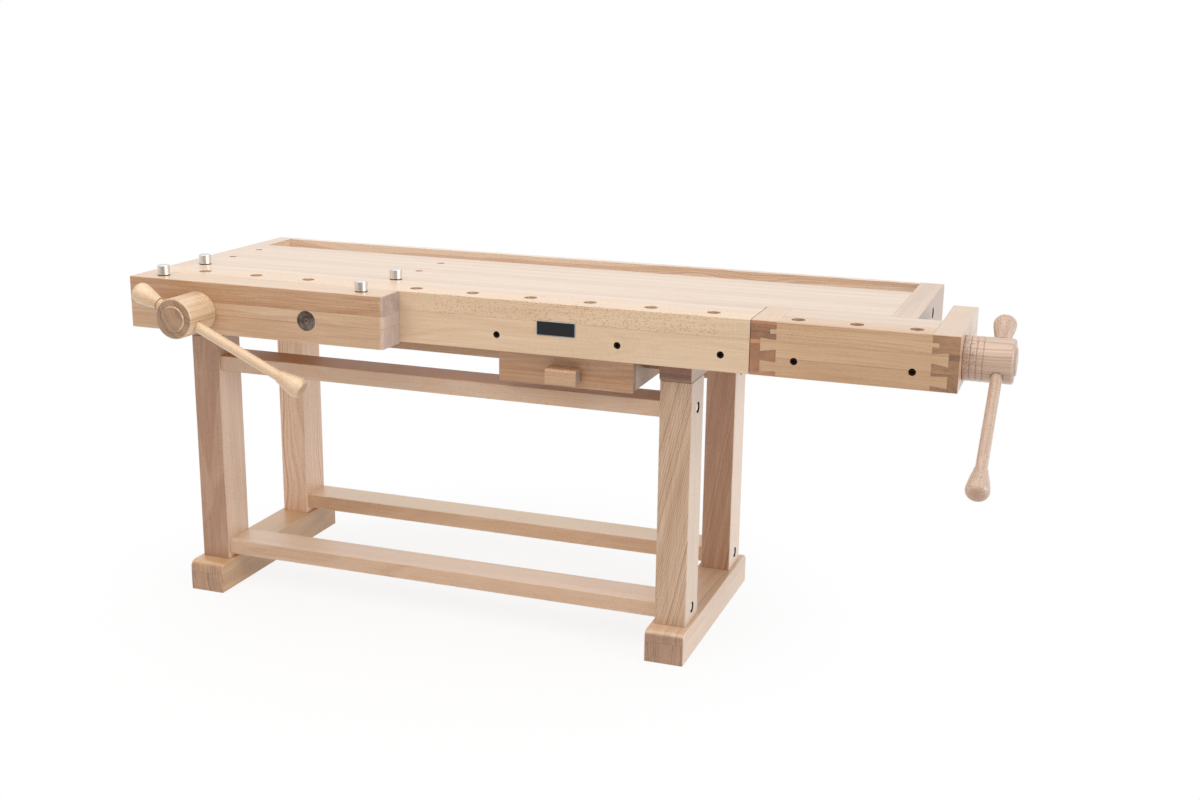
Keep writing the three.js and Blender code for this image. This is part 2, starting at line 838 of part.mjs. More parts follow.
// Pear knob from its tip: a dome, a full taper that ends as a cone, then a collar
function knobProfile() {
  const widest = knobDiameter / 2;
  const collar = knobCollar / 2;
  const taper = knobLength - knobCollarLength - knobDome;
  const points = [[0, 0]];
  for (let i = 1; i <= knobSteps; i += 1) {
    const angle = (Math.PI / 2) * (i / knobSteps);
    points.push([widest * Math.sin(angle), knobDome * (1 - Math.cos(angle))]);
  }
  for (let i = 1; i <= knobSteps; i += 1) {
    const share = i / knobSteps;
    points.push([widest - (widest - collar) * share ** knobSwell, knobDome + taper * share]);
  }
  points.push([collar, knobLength]);
  points.push([stickDiameter / 2, knobLength]);
  return points;
}

function handleProfile() {
  const knob = knobProfile();
  const far = knob.map(([r, y]) => [r, handleLength - y]).reverse();
  return [...knob, ...far].map(([r, y]) => new THREE.Vector2(r, y));
}

// Screw, hub and sliding handle. In the group, +Y points out of the vise and +Z to the upper knob.
function viseScrew(prefix, reach, place, out, up, slide) {
  const group = new THREE.Group();
  const sideways = new THREE.Vector3().crossVectors(out, up);
  group.quaternion.setFromRotationMatrix(new THREE.Matrix4().makeBasis(sideways, out, up));
  group.position.copy(place);
  bench.add(group);

  add(`${prefix}_screw`, join(
    bar('y', screwDiameter / 2, -reach, screwSeat, 0, 0),
    bar('y', collarDiameter / 2, -collarThickness, 0, 0, 0),
  ), greySteel, group);

  const hub = new THREE.LatheGeometry(hubProfile(), hubSides).translate(0, runGap, 0);
  const hole = stickDiameter / 2 + runGap;
  add(`${prefix}_hub`, cut(
    solid(hub),
    bar('y', screwDiameter / 2 + jointGap, -overlap, screwSeat + jointGap, 0, 0),
    bar('z', hole, -hubDiameter, hubDiameter, 0, handlePlace, handleSides),
  ), turnedBeech, group);

  const handle = new THREE.LatheGeometry(handleProfile(), handleSides).rotateX(Math.PI / 2);
  const tip = hubDiameter / 2 + runGap + knobLength + slide;
  add(`${prefix}_handle`, handle.translate(0, handlePlace, tip - handleLength), turnedBeech, group);
}

const frontTilt = THREE.MathUtils.degToRad(frontHandleTilt);
viseScrew(
  'front',
  jawThickness + runGap + nutFrontBack + frontTravel + screwSpare,
  new THREE.Vector3(frontScrewPlace, jawFront, frontScrewZ),
  new THREE.Vector3(0, -1, 0),
  new THREE.Vector3(-Math.cos(frontTilt), 0, Math.sin(frontTilt)),
  frontHandleSlide,
);
const tailTilt = THREE.MathUtils.degToRad(tailHandleTilt);
viseScrew(
  'tail',
  endBlockRight - slabRight + tailTravel + screwSpare,
  new THREE.Vector3(endBlockRight, tailScrewInset, tailScrewZ),
  new THREE.Vector3(1, 0, 0),
  new THREE.Vector3(0, Math.sin(tailTilt), Math.cos(tailTilt)),
  tailHandleSlide,
);

// Tail vise: a front board dovetailed into the jaw block and the end block, and a cover
function dovetail(tail, root, direction, grow) {
  const back = root - direction * overlap;
  const tip = root + direction * (tail.length + grow);
  const shape = polygon([
    [back, topZ - tail.root[0] + grow],
    [tip, topZ - tail.tip[0] + grow],
    [tip, topZ - tail.tip[1] - grow],
    [back, topZ - tail.root[1] - grow],
  ]);
  return alongY(shape, grow ? -overlap : 0, tailBoard + grow);
}

const tailSection = easedRectangle(0, tailBoard, beamBottom, topZ, true, false);
const boardLeft = jawBlockRight + jointGap;
const boardRight = endBlockLeft - jointGap;
const tailBoltPlaces = tailBoltInsets.map((inset) => tailLeft + inset);
const tailBoltEnd = tailDogInset - dogHoleRadius - boltSpare;
add('tail_front_board', cut(
  join(
    alongX(tailSection, boardLeft, boardRight),
    ...dovetails.map((tail) => dovetail(tail, boardLeft, -1, 0)),
    ...dovetails.map((tail) => dovetail(tail, boardRight, 1, 0)),
  ),
  ...tailDogPlaces.map((x) => dogHole(x, tailDogInset, beamBottom)),
  ...tailBoltPlaces.flatMap((x) => capBoltTools(x, tailBoltEnd)),
), beech);
tailBoltPlaces.forEach((x, i) => {
  add(`tail_bolt_${i + 1}`, capBolt(x, tailBoltEnd), blackSteel);
});
add('tail_jaw_block', cut(
  solid(alongX(easedRectangle(0, tailDepth, beamBottom, topZ, true, false), tailLeft, jawBlockRight)),
  ...dovetails.map((tail) => dovetail(tail, boardLeft, -1, jointGap)),
), legBeech);

const rodSeatEnd = endBlockLeft + tailRodSeat;
const endBlockSection = easedRectangle(0, endBlockDepth, beamBottom, topZ, true, true);
add('tail_end_block', cut(
  solid(alongX(endBlockSection, endBlockLeft, endBlockRight)),
  ...dovetails.map((tail) => dovetail(tail, boardRight, 1, jointGap)),
  bar('x', screwBore, endBlockLeft - overlap, endBlockRight + overlap, tailScrewInset, tailScrewZ),
  bar(
    'x',
    collarDiameter / 2 + runGap,
    endBlockRight - collarSeat,
    endBlockRight + overlap,
    tailScrewInset,
    tailScrewZ,
  ),
  bar(
    'x',
    tailRodDiameter / 2 + jointGap,
    endBlockLeft - overlap,
    rodSeatEnd + jointGap,
    tailRodInset,
    tailRodZ,
  ),
), legBeech);

const coverY0 = tailBoard + jointGap;
const tongueEnd = bodyLength - tongueInset;
add('tail_cover_board', join(
  block(boardLeft, boardRight, coverY0, tailDepth, coverBottom, topZ),
  block(
    boardLeft + tongueInset,
    tongueEnd,
    tailDepth - overlap,
    tailDepth + tongueDepth + runGap,
    tongueTop - tongueThickness,
    tongueTop,
  ),
), beech);
add('tail_guide_rod', bar(
  'x',
  tailRodDiameter / 2,
  slabRight - tailTravel - tailRodSpare,
  rodSeatEnd,
  tailRodInset,
  tailRodZ,
), greySteel);

// Drawer, hung by a strip on each side in the groove of a runner under the slab
const drawerX1 = trestles.right - drawerClear;
const drawerX0 = drawerX1 - drawerWidth;
const drawerY1 = drawerSetback + drawerDepth;
const drawerTop = beamBottom - drawerDrop;
const drawerBottom = drawerTop - drawerHeight;
const sideY0 = drawerSetback + drawerFrontThickness + jointGap;
const sideTop = drawerTop - drawerLip;
const sideBottom = drawerBottom + drawerLip;
const slipTop = sideTop - slipDrop;
const slipBottom = slipTop - slipHeight;
const floorBottom = sideBottom + drawerBottomRise;
const floorTop = floorBottom + drawerBottomThickness;
const wallIn = drawerWall + jointGap;

function drawerFloor(grow) {
  const groove = drawerWall - drawerGroove - grow;
  return block(
    drawerX0 + groove,
    drawerX1 - groove,
    sideY0,
    drawerY1,
    floorBottom - grow,
    floorTop + grow,
  );
}

function drawerSide(inner, outward) {
  const outer = inner + outward * drawerWall;
  const slip = outer + outward * slipWidth;
  const slipY0 = drawerSetback + slipStart;
  return cut(
    join(
      block(inner, outer, sideY0, drawerY1, sideBottom, sideTop),
      block(outer - outward * overlap, slip, slipY0, drawerY1, slipBottom, slipTop),
    ),
    drawerFloor(jointGap),
  );
}

function drawerRunner(outer, outward) {
  const near = outer + outward * runGap;
  const far = near + outward * runnerWidth;
  const y0 = battenBack + jointGap;
  const bottom = slipBottom - runGap - runnerFoot;
  const grooveEnd = outer + outward * (slipWidth + runGap);
  return cut(
    solid(block(near, far, y0, y0 + runnerLength, bottom, slabBottom - jointGap)),
    block(
      outer - outward * overlap,
      grooveEnd,
      y0 - overlap,
      y0 + runnerLength + overlap,
      slipBottom - runGap,
      slipTop + runGap,
    ),
  );
}

add('drawer_front', easedBlock(
  drawerX0,
  drawerX1,
  drawerSetback,
  drawerSetback + drawerFrontThickness,
  drawerBottom,
  drawerTop,
), beech);
add('drawer_left_side', drawerSide(drawerX0 + drawerWall, -1), paleBeech);
add('drawer_right_side', drawerSide(drawerX1 - drawerWall, 1), paleBeech);
add('drawer_back', block(
  drawerX0 + wallIn,
  drawerX1 - wallIn,
  drawerY1 - drawerWall,
  drawerY1,
  floorTop + jointGap,
  sideTop,
), paleBeech);
add('drawer_bottom', drawerFloor(0), paleBeech);
add('left_drawer_runner', drawerRunner(drawerX0, -1), legBeech);
add('right_drawer_runner', drawerRunner(drawerX1, 1), legBeech);

const pullMiddle = (drawerX0 + drawerX1) / 2;
const pullFront = drawerSetback - jointGap - pullDepth;
const pullBack = drawerSetback - jointGap;
const pullBottom = drawerBottom + pullRise;
const pullTop = pullBottom + pullHeight;
const pullOutline = new THREE.Shape();
pullOutline.moveTo(pullBack, pullBottom);
pullOutline.lineTo(pullBack, pullTop);
pullOutline.lineTo(pullFront + pullRound, pullTop);
pullOutline.absarc(pullFront + pullRound, pullTop - pullRound, pullRound, Math.PI / 2, Math.PI);
pullOutline.lineTo(pullFront, pullBottom);
add('drawer_pull', alongX(
  pullOutline,
  pullMiddle - pullWidth / 2,
  pullMiddle + pullWidth / 2,
  ease,
), turnedBeech);

// Bench dogs
function dog(x, y) {
  const radius = dogDiameter / 2;
  const top = topZ + dogProud;
  const profile = [
    [0, top - dogLength],
    [radius - dogChamfer, top - dogLength],
    [radius, top - dogLength + dogChamfer],
    [radius, top - dogChamfer],
    [radius - dogChamfer, top],
    [0, top],
  ].map(([r, z]) => new THREE.Vector2(r, z));
  return new THREE.LatheGeometry(profile, holeSides).rotateX(Math.PI / 2).translate(x, y, 0);
}

jawDogPlaces.forEach((x, i) => {
  const side = i === 0 ? 'left' : 'right';
  add(`jaw_${side}_dog`, dog(x, jawDogInsetY), brightSteel);
  add(`slab_${side}_dog`, dog(x, slabDogFirst), brightSteel);
});

// Origin on the floor, under the middle of the box
const box = new THREE.Box3().setFromObject(bench, true);
const middle = box.getCenter(new THREE.Vector3());
bench.position.set(-middle.x, -middle.y, -box.min.z);
bench.updateMatrixWorld(true);

export default bench;
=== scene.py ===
import json
import math
import bpy
import numpy as np
from mathutils import Matrix, Vector


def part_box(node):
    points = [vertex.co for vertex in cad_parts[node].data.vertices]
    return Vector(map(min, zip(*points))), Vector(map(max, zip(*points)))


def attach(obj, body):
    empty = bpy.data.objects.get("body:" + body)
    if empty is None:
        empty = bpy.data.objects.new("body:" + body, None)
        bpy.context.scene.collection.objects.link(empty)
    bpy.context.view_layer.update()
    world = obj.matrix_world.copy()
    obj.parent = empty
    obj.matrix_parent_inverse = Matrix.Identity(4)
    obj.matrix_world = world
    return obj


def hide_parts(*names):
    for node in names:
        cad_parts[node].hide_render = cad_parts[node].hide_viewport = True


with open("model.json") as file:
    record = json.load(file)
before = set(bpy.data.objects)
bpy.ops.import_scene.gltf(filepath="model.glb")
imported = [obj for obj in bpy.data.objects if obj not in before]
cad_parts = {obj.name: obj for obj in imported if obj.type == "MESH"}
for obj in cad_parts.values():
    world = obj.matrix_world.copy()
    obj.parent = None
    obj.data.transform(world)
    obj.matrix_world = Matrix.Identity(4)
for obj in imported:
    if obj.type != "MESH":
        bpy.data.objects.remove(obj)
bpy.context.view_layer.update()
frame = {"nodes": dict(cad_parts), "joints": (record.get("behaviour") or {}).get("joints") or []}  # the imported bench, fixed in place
nodes = frame["nodes"]
scene = bpy.context.scene
scene.view_settings.view_transform = "Standard"
mm = 0.001
print("frame loaded:", len(nodes), "nodes")


# camera, worked out from the bench's own edges in the picture

cameraView = {
    "turn": 19.44,  # degrees to the left of straight ahead
    "down": 14.706,
    "roll": 0.773,
    "lens": 45.13,  # on the standard 36 mm sensor
    "place": (1.24865, -3.326019, 1.5047),
    "farthest": 200,  # metres
}


def makeCamera(view):
    turn, down, roll = (math.radians(view[key]) for key in ("turn", "down", "roll"))
    ahead = Vector((-math.sin(turn) * math.cos(down), math.cos(turn) * math.cos(down), -math.sin(down)))
    level = ahead.cross(Vector((0, 0, 1))).normalized()
    right = level * math.cos(roll) + level.cross(ahead) * math.sin(roll)
    up = right.cross(ahead)
    camera = bpy.data.objects.new("camera", bpy.data.cameras.new("camera"))
    camera.data.lens = view["lens"]
    camera.data.clip_end = view["farthest"]
    axes = Matrix((right, up, -ahead)).transposed().to_4x4()
    camera.matrix_world = Matrix.Translation(view["place"]) @ axes
    scene.collection.objects.link(camera)
    scene.camera = camera


makeCamera(cameraView)
print("camera placed")


# node helpers

def tint(code):  # a web colour as linear red, green, blue, alpha
    parts = np.array([int(code[i:i + 2], 16) for i in (1, 3, 5)]) / 255
    linear = np.where(parts <= 0.04045, parts / 12.92, ((parts + 0.055) / 1.055) ** 2.4)
    return (*linear.tolist(), 1.0)


def put(tree, kind, sockets=None, **settings):  # a node, its sockets set to values or linked
    node = tree.nodes.new("ShaderNode" + kind)
    for name, value in settings.items():
        setattr(node, name, value)
    for name, value in (sockets or {}).items():
        if isinstance(value, bpy.types.NodeSocket):
            tree.links.new(value, node.inputs[name])
        else:
            node.inputs[name].default_value = value
    return node


def calc(tree, operation, *terms, clamp=False):
    return put(tree, "Math", dict(enumerate(terms)), operation=operation, use_clamp=clamp).outputs[0]


def times(tree, value, factor, clamp=False):
    return calc(tree, "MULTIPLY", value, factor, clamp=clamp)


def calcVector(tree, operation, *terms, scale=None):
    sockets = dict(enumerate(terms))
    if scale is not None:
        sockets["Scale"] = scale
    return put(tree, "VectorMath", sockets, operation=operation).outputs[0]


def calcNumber(tree, operation, *terms):  # a number from vectors
    return put(tree, "VectorMath", dict(enumerate(terms)), operation=operation).outputs["Value"]


def parted(tree, vector):  # its x, y and z
    return put(tree, "SeparateXYZ", {0: vector}).outputs


def blendColour(tree, factor, low, high, mode="MIX"):
    sockets = {0: factor, 6: low, 7: high}
    return put(tree, "Mix", sockets, data_type="RGBA", blend_type=mode).outputs[2]


def ramp(tree, value, low, high, first=0.0, last=1.0):  # a smooth step from first to last
    sockets = {"Value": value, "From Min": low, "From Max": high, "To Min": first, "To Max": last}
    return put(tree, "MapRange", sockets, interpolation_type="SMOOTHSTEP").outputs[0]


def noise(tree, vector, scale, detail=2.0, rough=0.5):
    sockets = {"Vector": vector, "Scale": scale, "Detail": detail, "Roughness": rough}
    return put(tree, "TexNoise", sockets).outputs[0]


def noiseAlong(tree, value, scale, detail=2.0):  # noise over one number
    sockets = {"W": value, "Scale": scale, "Detail": detail}
    return put(tree, "TexNoise", sockets, noise_dimensions="1D").outputs[0]


def turnToX(axis):  # the turn that lays the axis along x
    return Vector(axis).rotation_difference(Vector((1, 0, 0)))


def laidAlong(tree, place, turn, origin):  # places seen from the origin, after the turn
    shift, angles = tuple(-(turn @ Vector(origin))), tuple(turn.to_euler())
    return put(tree, "Mapping", {"Vector": place, "Location": shift, "Rotation": angles}).outputs[0]


def newMaterial(name):
    material = bpy.data.materials.new(name)
    material.use_nodes = True
    material.node_tree.nodes.clear()
    return material, material.node_tree


def shaderOut(tree, sockets):
    shader = put(tree, "BsdfPrincipled", sockets)
    put(tree, "OutputMaterial", {"Surface": shader.outputs[0]})


def newGroup(name, inputs, outputs):  # each has the names of its sockets under their kind
    group = bpy.data.node_groups.new(name, "ShaderNodeTree")
    for side, kinds in (("INPUT", inputs), ("OUTPUT", outputs)):
        for kind, labels in kinds.items():
            for label in labels:
                group.interface.new_socket(label, in_out=side, socket_type="NodeSocket" + kind)
    return group, group.nodes.new("NodeGroupInput").outputs, group.nodes.new("NodeGroupOutput").inputs


# studio: a pale floor that keeps the shadow, white all round, soft lamps

studio = {
    "worldLight": (0.35, 0.69),  # strength for what isn't seen directly, at the horizon and overhead
    "viewerSide": (0.33, -0.94, 0.0),  # the unlit end of the studio, seen in reflections alone
    "viewerEdge": (0.62, 0.95),  # cosines of the angle to it over which it darkens
    "viewerDark": 0.12,  # brightness there
    "floorEdge": (1.5, 3.0),  # metres towards it over which the floor darkens
    "floorDark": 0.35,
    "floorSize": 60.0,
    "floorColour": "#f7f6f5",
    "floorGlow": (0.85, 1.0),  # share of it that is plain white when seen, under the bench and far off
    "floorMiddle": (-0.32, 0.0, 0.0),  # between the feet
    "floorFade": (0.4, 1.15),  # metres from there over which it changes
    "lamps": {
        # name: (place, aims at, size in metres, watts, colour)
        "overhead": ((-0.4, -0.6, 3.7), (-0.3, 0.0, 0.5), (3.8, 2.2), 43.0, "#fffaf4"),
        "front": ((-1.0, -3.0, 3.6), (-0.1, 0.0, 0.3), (2.8, 2.0), 40.0, "#fff7ee"),
        "right": ((14.0, -2.0, 4.5), (0.0, 0.1, 0.4), (7.0, 4.0), 910.0, "#e9f4ff"),
    },
}


def seenRays(tree, place, side, edge, darkest):
    # 1 for what is seen at all, and its brightness, which falls in reflections across the edge on one side
    dark = ramp(tree, calcNumber(tree, "DOT_PRODUCT", place, side), *edge, 0.0, 1.0 - darkest)
    path = put(tree, "LightPath").outputs
    mirrored = path["Is Glossy Ray"]
    straight = calc(tree, "MAXIMUM", path["Is Camera Ray"], path["Is Transmission Ray"])
    dimmed = calc(tree, "SUBTRACT", 1.0, times(tree, mirrored, dark))
    return calc(tree, "MAXIMUM", straight, mirrored), calc(tree, "MAXIMUM", straight, dimmed)


def makeWorld(setup):
    # white where it is seen; reflections find it dark towards the viewer; its light comes more from above
    world = bpy.data.worlds.new("studio")
    scene.world = world
    world.use_nodes = True
    tree = world.node_tree
    tree.nodes.clear()
    direction = put(tree, "TexCoord").outputs["Generated"]
    up = parted(tree, direction)[2]
    seen, white = seenRays(tree, direction, setup["viewerSide"], setup["viewerEdge"], setup["viewerDark"])
    ambient = ramp(tree, up, 0.0, 1.0, *setup["worldLight"])
    level = put(tree, "Mix", {0: seen, 2: ambient, 3: white}, data_type="FLOAT").outputs[0]
    light = put(tree, "Background", {"Color": (1, 1, 1, 1), "Strength": level})
    put(tree, "OutputWorld", {"Surface": light.outputs[0]})


def makeFloor(setup):
    half = setup["floorSize"] / 2
    corners = np.array([(-1, -1, 0), (1, -1, 0), (1, 1, 0), (-1, 1, 0)], float) * half
    mesh = bpy.data.meshes.new("floor")
    mesh.from_pydata(corners.tolist(), [], [(0, 1, 2, 3)])
    floor = bpy.data.objects.new("floor", mesh)
    scene.collection.objects.link(floor)
    material, tree = newMaterial("paleFloor")
    matt = put(tree, "BsdfDiffuse", {"Color": tint(setup["floorColour"])})
    place = put(tree, "TexCoord").outputs["Object"]
    seen, white = seenRays(tree, place, setup["viewerSide"], setup["floorEdge"], setup["floorDark"])
    glow = put(tree, "Emission", {"Color": (1, 1, 1, 1), "Strength": white})
    aside = calcVector(tree, "SUBTRACT", place, setup["floorMiddle"])
    away = calcNumber(tree, "LENGTH", aside)
    share = times(tree, seen, ramp(tree, away, *setup["floorFade"], *setup["floorGlow"]))
    mixed = put(tree, "MixShader", {0: share, 1: matt.outputs[0], 2: glow.outputs[0]})
    put(tree, "OutputMaterial", {"Surface": mixed.outputs[0]})
    mesh.materials.append(material)


def makeLamps(setup):
    for name, (place, aim, size, watts, colour) in setup["lamps"].items():
        lamp = bpy.data.lights.new(name, "AREA")
        lamp.shape = "RECTANGLE"
        lamp.size, lamp.size_y = size
        lamp.energy = watts
        lamp.color = tint(colour)[:3]
        holder = bpy.data.objects.new(name, lamp)
        holder.location = place
        holder.rotation_euler = (Vector(aim) - Vector(place)).to_track_quat("-Z", "Y").to_euler()
        scene.collection.objects.link(holder)


makeWorld(studio)
makeFloor(studio)
makeLamps(studio)
print("studio lit")


# beech: one solid grain, shared by every wooden piece

plainLook = {
    "light": 0.56,
    "flecks": 0.3,
    "figure": 0.4,  # strength of bands and streaks
    "lines": 0.25,  # strength of the growth rings
    "rings": 200.0,  # of them to the metre
    "sway": 0.05,  # metres that the rings wander
    "lean": 0.0,  # slope of the pith across the grain
    "cut": 0.0,  # how much paler a quarter-sawn face is than a flat-sawn one; set board by board, it also paints light and shade onto tops, fronts and sides
    "contrast": 1.0,  # of everything that varies along and across the board
}
grainShape = {
    "tree": 7.0,  # metres of it that staves are drawn from
    "ringSpan": 9.0,  # metres of rings that they are drawn from
    "flatFace": (0.6, 1.0),  # from where a face counts as flat-sawn: cosine between it and the radius
    "flatLines": 0.35,  # share of the ring lines that is left on such a face
    "uneven": (40.0, 1.0, 4.0),  # noise over the rings: features to the metre, octaves, and its strength
    "bands": (34.0, 1.0, 1.2),
    "streaks": (420.0, 2.0, 0.7),
    "lateWood": (0.2, 0.88),  # part of a ring over which it darkens
    "ringStrength": (0.75, 0.25),  # what each draws, and its least
    "ringMean": 0.25,
    "sway": (1.3, 6.0, 2.0),  # noise drawn out: features to the metre along and across the grain, octaves
    "long": (7.0, 330.0, 3.0, 0.6),
    "fine": (55.0, 1500.0, 2.0),
    "cloud": (3.0, 16.0, 2.0),
    "longPush": 0.75,
    "cloudPush": 0.35,
    "fleckCells": (150.0, 300.0, 300.0),  # to the metre
    "fleckEdge": (0.16, 0.4),
    "patchNoise": (5.0, 1.0),
    "patchEdge": (0.3, 0.52),
    "endFace": (0.55, 0.9),  # cosines over which a face turns into end grain
    "endShare": 0.94,
    "endShade": (0.8, 0.6),  # by the stave's lightness, and at least
    "endBlotch": (28.0, 3.0, 0.8),  # noise: features to the metre, octaves, strength
    "endSpeckle": (170.0, 2.0, 0.5),
    "endPores": (380.0, 2.0, 0.6),
    "endBands": 0.5,
    "endLines": -1.2,
    "glue": 0.45,  # strength of a glue line
    "roughness": (0.16, 0.36),  # by the fibre, and at least
    "relief": (0.6, 0.4),  # of long and of fine fibre
}


def makeBeechGrain(shape):
    # x runs along the grain. A stave's number draws its own stretch of the tree and its own pith, some way
    # off. Growth rings follow each other over the distance from that pith, each darker to its outer edge;
    # bands and streaks are noise over the same distance, fibre is noise drawn out along x, and ray flecks
    # are small cells that come in patches. Faces that look along x are end grain.
    group, given, result = newGroup(
        "beechGrain",
        inputs={
            "Vector": ("Vector", "Facing", "Pith"),
            "Color": ("Pale", "Dark", "End"),
            "Float": ("Seed", "Stave", "Scatter", "Glue", *(key.capitalize() for key in plainLook)),
        },
        outputs={"Color": ("Color",), "Float": ("Roughness", "Height")},
    )
    figure = given["Figure"]
    number = put(group, "CombineXYZ", {0: given["Seed"], 1: given["Stave"], 2: 0.5}).outputs[0]
    draw = put(group, "TexWhiteNoise", {"Vector": number}, noise_dimensions="3D").outputs

    def around(value, amount):  # a 0 to 1 noise as a push either way
        return times(group, calc(group, "SUBTRACT", value, 0.5), amount)

    def drawnOut(x, across, detail, rough=0.5):
        scaled = calcVector(group, "MULTIPLY", own, (x, across, across))
        return noise(group, scaled, 1.0, detail, rough)

    def overRings(scale, detail, push):
        return around(noiseAlong(group, reach, scale, detail), push)

    def spotted(vector, scale, detail, push):
        return around(noise(group, vector, scale, detail), push)

    # the stave's own stretch of the tree, and its distance from the pith
    shift = calcVector(group, "SCALE", draw["Color"], scale=shape["tree"])
    own = calcVector(group, "ADD", given["Vector"], shift)
    centred = calcVector(group, "SUBTRACT", draw["Color"], (0.5, 0.5, 0.5))
    apart = calcVector(group, "SCALE", centred, scale=given["Scatter"])
    pith = calcVector(group, "ADD", given["Pith"], apart)
    aside = calcVector(group, "SUBTRACT", given["Vector"], pith)
    parts = parted(group, aside)
    upright = put(group, "CombineXYZ", {0: 0.0, 1: parts[1], 2: parts[2]}).outputs[0]
    radial = calcVector(group, "NORMALIZE", upright)
    towards = calcNumber(group, "DOT_PRODUCT", radial, given["Facing"])
    flat = calc(group, "ABSOLUTE", towards)
    lean = times(group, given["Lean"], ramp(group, flat, *shape["flatFace"], 1.0, 0.0))
    leant = calc(group, "MULTIPLY_ADD", parts[0], lean, parts[2])
    across = put(group, "CombineXYZ", {0: 0.0, 1: parts[1], 2: leant}).outputs[0]
    sway = times(group, drawnOut(*shape["sway"]), given["Sway"])
    reach = calc(group, "ADD", calcNumber(group, "LENGTH", across), sway)
    reach = calc(group, "MULTIPLY_ADD", draw["Value"], shape["ringSpan"], reach)

    # growth rings, unevenly wide, each with a strength of its own
    scale, detail, push = shape["uneven"]
    uneven = times(group, noiseAlong(group, reach, scale, detail), push)
    count = calc(group, "MULTIPLY_ADD", reach, given["Rings"], uneven)
    part = calc(group, "FRACT", count)
    start, peak = shape["lateWood"]
    late = times(group, ramp(group, part, start, peak), ramp(group, part, peak, 1.0, 1.0, 0.0))
    each = put(group, "TexWhiteNoise", {"W": calc(group, "FLOOR", count)}, noise_dimensions="1D").outputs[0]
    ring = times(group, late, calc(group, "MULTIPLY_ADD", each, *shape["ringStrength"]))
    kept = ramp(group, flat, *shape["flatFace"], 1.0, shape["flatLines"])
    clear = times(group, given["Lines"], kept)
    line = times(group, calc(group, "SUBTRACT", ring, shape["ringMean"]), clear)
    bands = times(group, overRings(*shape["bands"]), figure)
    streaks = times(group, overRings(*shape["streaks"]), figure)

    # fibre, drawn out along the grain, and soft clouds
    long = drawnOut(*shape["long"])
    fine = drawnOut(*shape["fine"])
    cloud = drawnOut(*shape["cloud"])

    # ray flecks in patches
    grid = calcVector(group, "MULTIPLY", own, shape["fleckCells"])
    spots = put(group, "TexVoronoi", {"Vector": grid, "Scale": 1.0}).outputs["Distance"]
    patch = ramp(group, noise(group, own, *shape["patchNoise"]), *shape["patchEdge"])
    fleck = times(group, ramp(group, spots, *shape["fleckEdge"], 1.0, 0.0), patch)

    # the long faces
    varied = calc(group, "SUBTRACT", calc(group, "ADD", bands, streaks), line)
    for fibre, key in ((cloud, "cloudPush"), (long, "longPush")):
        varied = calc(group, "ADD", varied, around(fibre, shape[key]))
    light = calc(group, "MULTIPLY_ADD", varied, given["Contrast"], given["Light"])
    # partly the sawn face's own tone, partly painted light and shade: faces across the rings come out paler
    # or darker by Cut
    paler = times(group, calc(group, "SUBTRACT", 0.5, flat), given["Cut"])
    light = calc(group, "ADD", light, paler, clamp=True)
    wood = blendColour(group, light, given["Dark"], given["Pale"])
    marks = times(group, fleck, given["Flecks"], clamp=True)
    marked = blendColour(group, marks, wood, given["Dark"], "MULTIPLY")

    # end grain: darker, with pores and blotches of its own
    facing = parted(group, given["Facing"])[0]
    end = ramp(group, calc(group, "ABSOLUTE", facing), *shape["endFace"])
    shade = calc(group, "MULTIPLY_ADD", given["Light"], *shape["endShade"])
    for place, key in ((own, "endBlotch"), (own, "endSpeckle"), (given["Vector"], "endPores")):
        shade = calc(group, "ADD", shade, spotted(place, *shape[key]))
    shade = calc(group, "ADD", shade, times(group, bands, shape["endBands"]))
    shade = calc(group, "MULTIPLY_ADD", line, shape["endLines"], shade)
    sawn = calcVector(group, "SCALE", given["End"], scale=shade)
    cut = blendColour(group, times(group, end, shape["endShare"]), marked, sawn)
    glue = times(group, given["Glue"], shape["glue"])
    glued = blendColour(group, glue, cut, given["Dark"], "MULTIPLY")
    group.links.new(glued, result["Color"])
    group.links.new(calc(group, "MULTIPLY_ADD", long, *shape["roughness"]), result["Roughness"])
    coarse, delicate = shape["relief"]
    height = calc(group, "MULTIPLY_ADD", long, coarse, times(group, fine, delicate))
    group.links.new(height, result["Height"])
    return group


beechGrain = makeBeechGrain(grainShape)

tones = {
    # name: (pale, dark, end grain)
    "frame": ("#efd5b6", "#caa37c", "#b48d6d"),
    "jaw": ("#e6ccab", "#af7b4f", "#a99388"),
    "tail": ("#e4c19a", "#b4875d", "#a8805e"),
    "top": ("#e6cfb8", "#c7a587", "#c0a082"),
    "pale": ("#efd3b8", "#c69d7a", "#bb9779"),
    "foot": ("#e6c6a6", "#bd9370", "#957057"),
    "base": ("#d9b38d", "#a37750", "#a17a5c"),
    "rose": ("#c99968", "#8e6038", "#865a41"),
    "split": ("#e4c4a8", "#8d5019", "#865a41"),
    "russet": ("#e4c4a8", "#a8704a", "#865a41"),
    "cap": ("#e6cab0", "#a98163", "#a37c61"),
    "cream": ("#e6caae", "#a37750", "#a98267"),
    "amber": ("#ffdbbc", "#c48c60", "#a97f62"),
    "tan": ("#e2b989", "#a87a46", "#a17a5c"),
    "bridge": ("#d5bba3", "#d0935b", "#957057"),
    "bright": ("#ffe2bc", "#bf7748", "#a97f62"),
    "rail": ("#ecd7c2", "#c69d7a", "#bb9779"),
    "block": ("#e6c9a8", "#c2966b", "#a26d49"),
    "hewn": ("#d8bda3", "#c2966b", "#9e724f"),
    "honey": ("#ecd0ad", "#c19a72", "#a37d5d"),
    "dusk": ("#dbbfaa", "#a37d64", "#a9826a"),
}


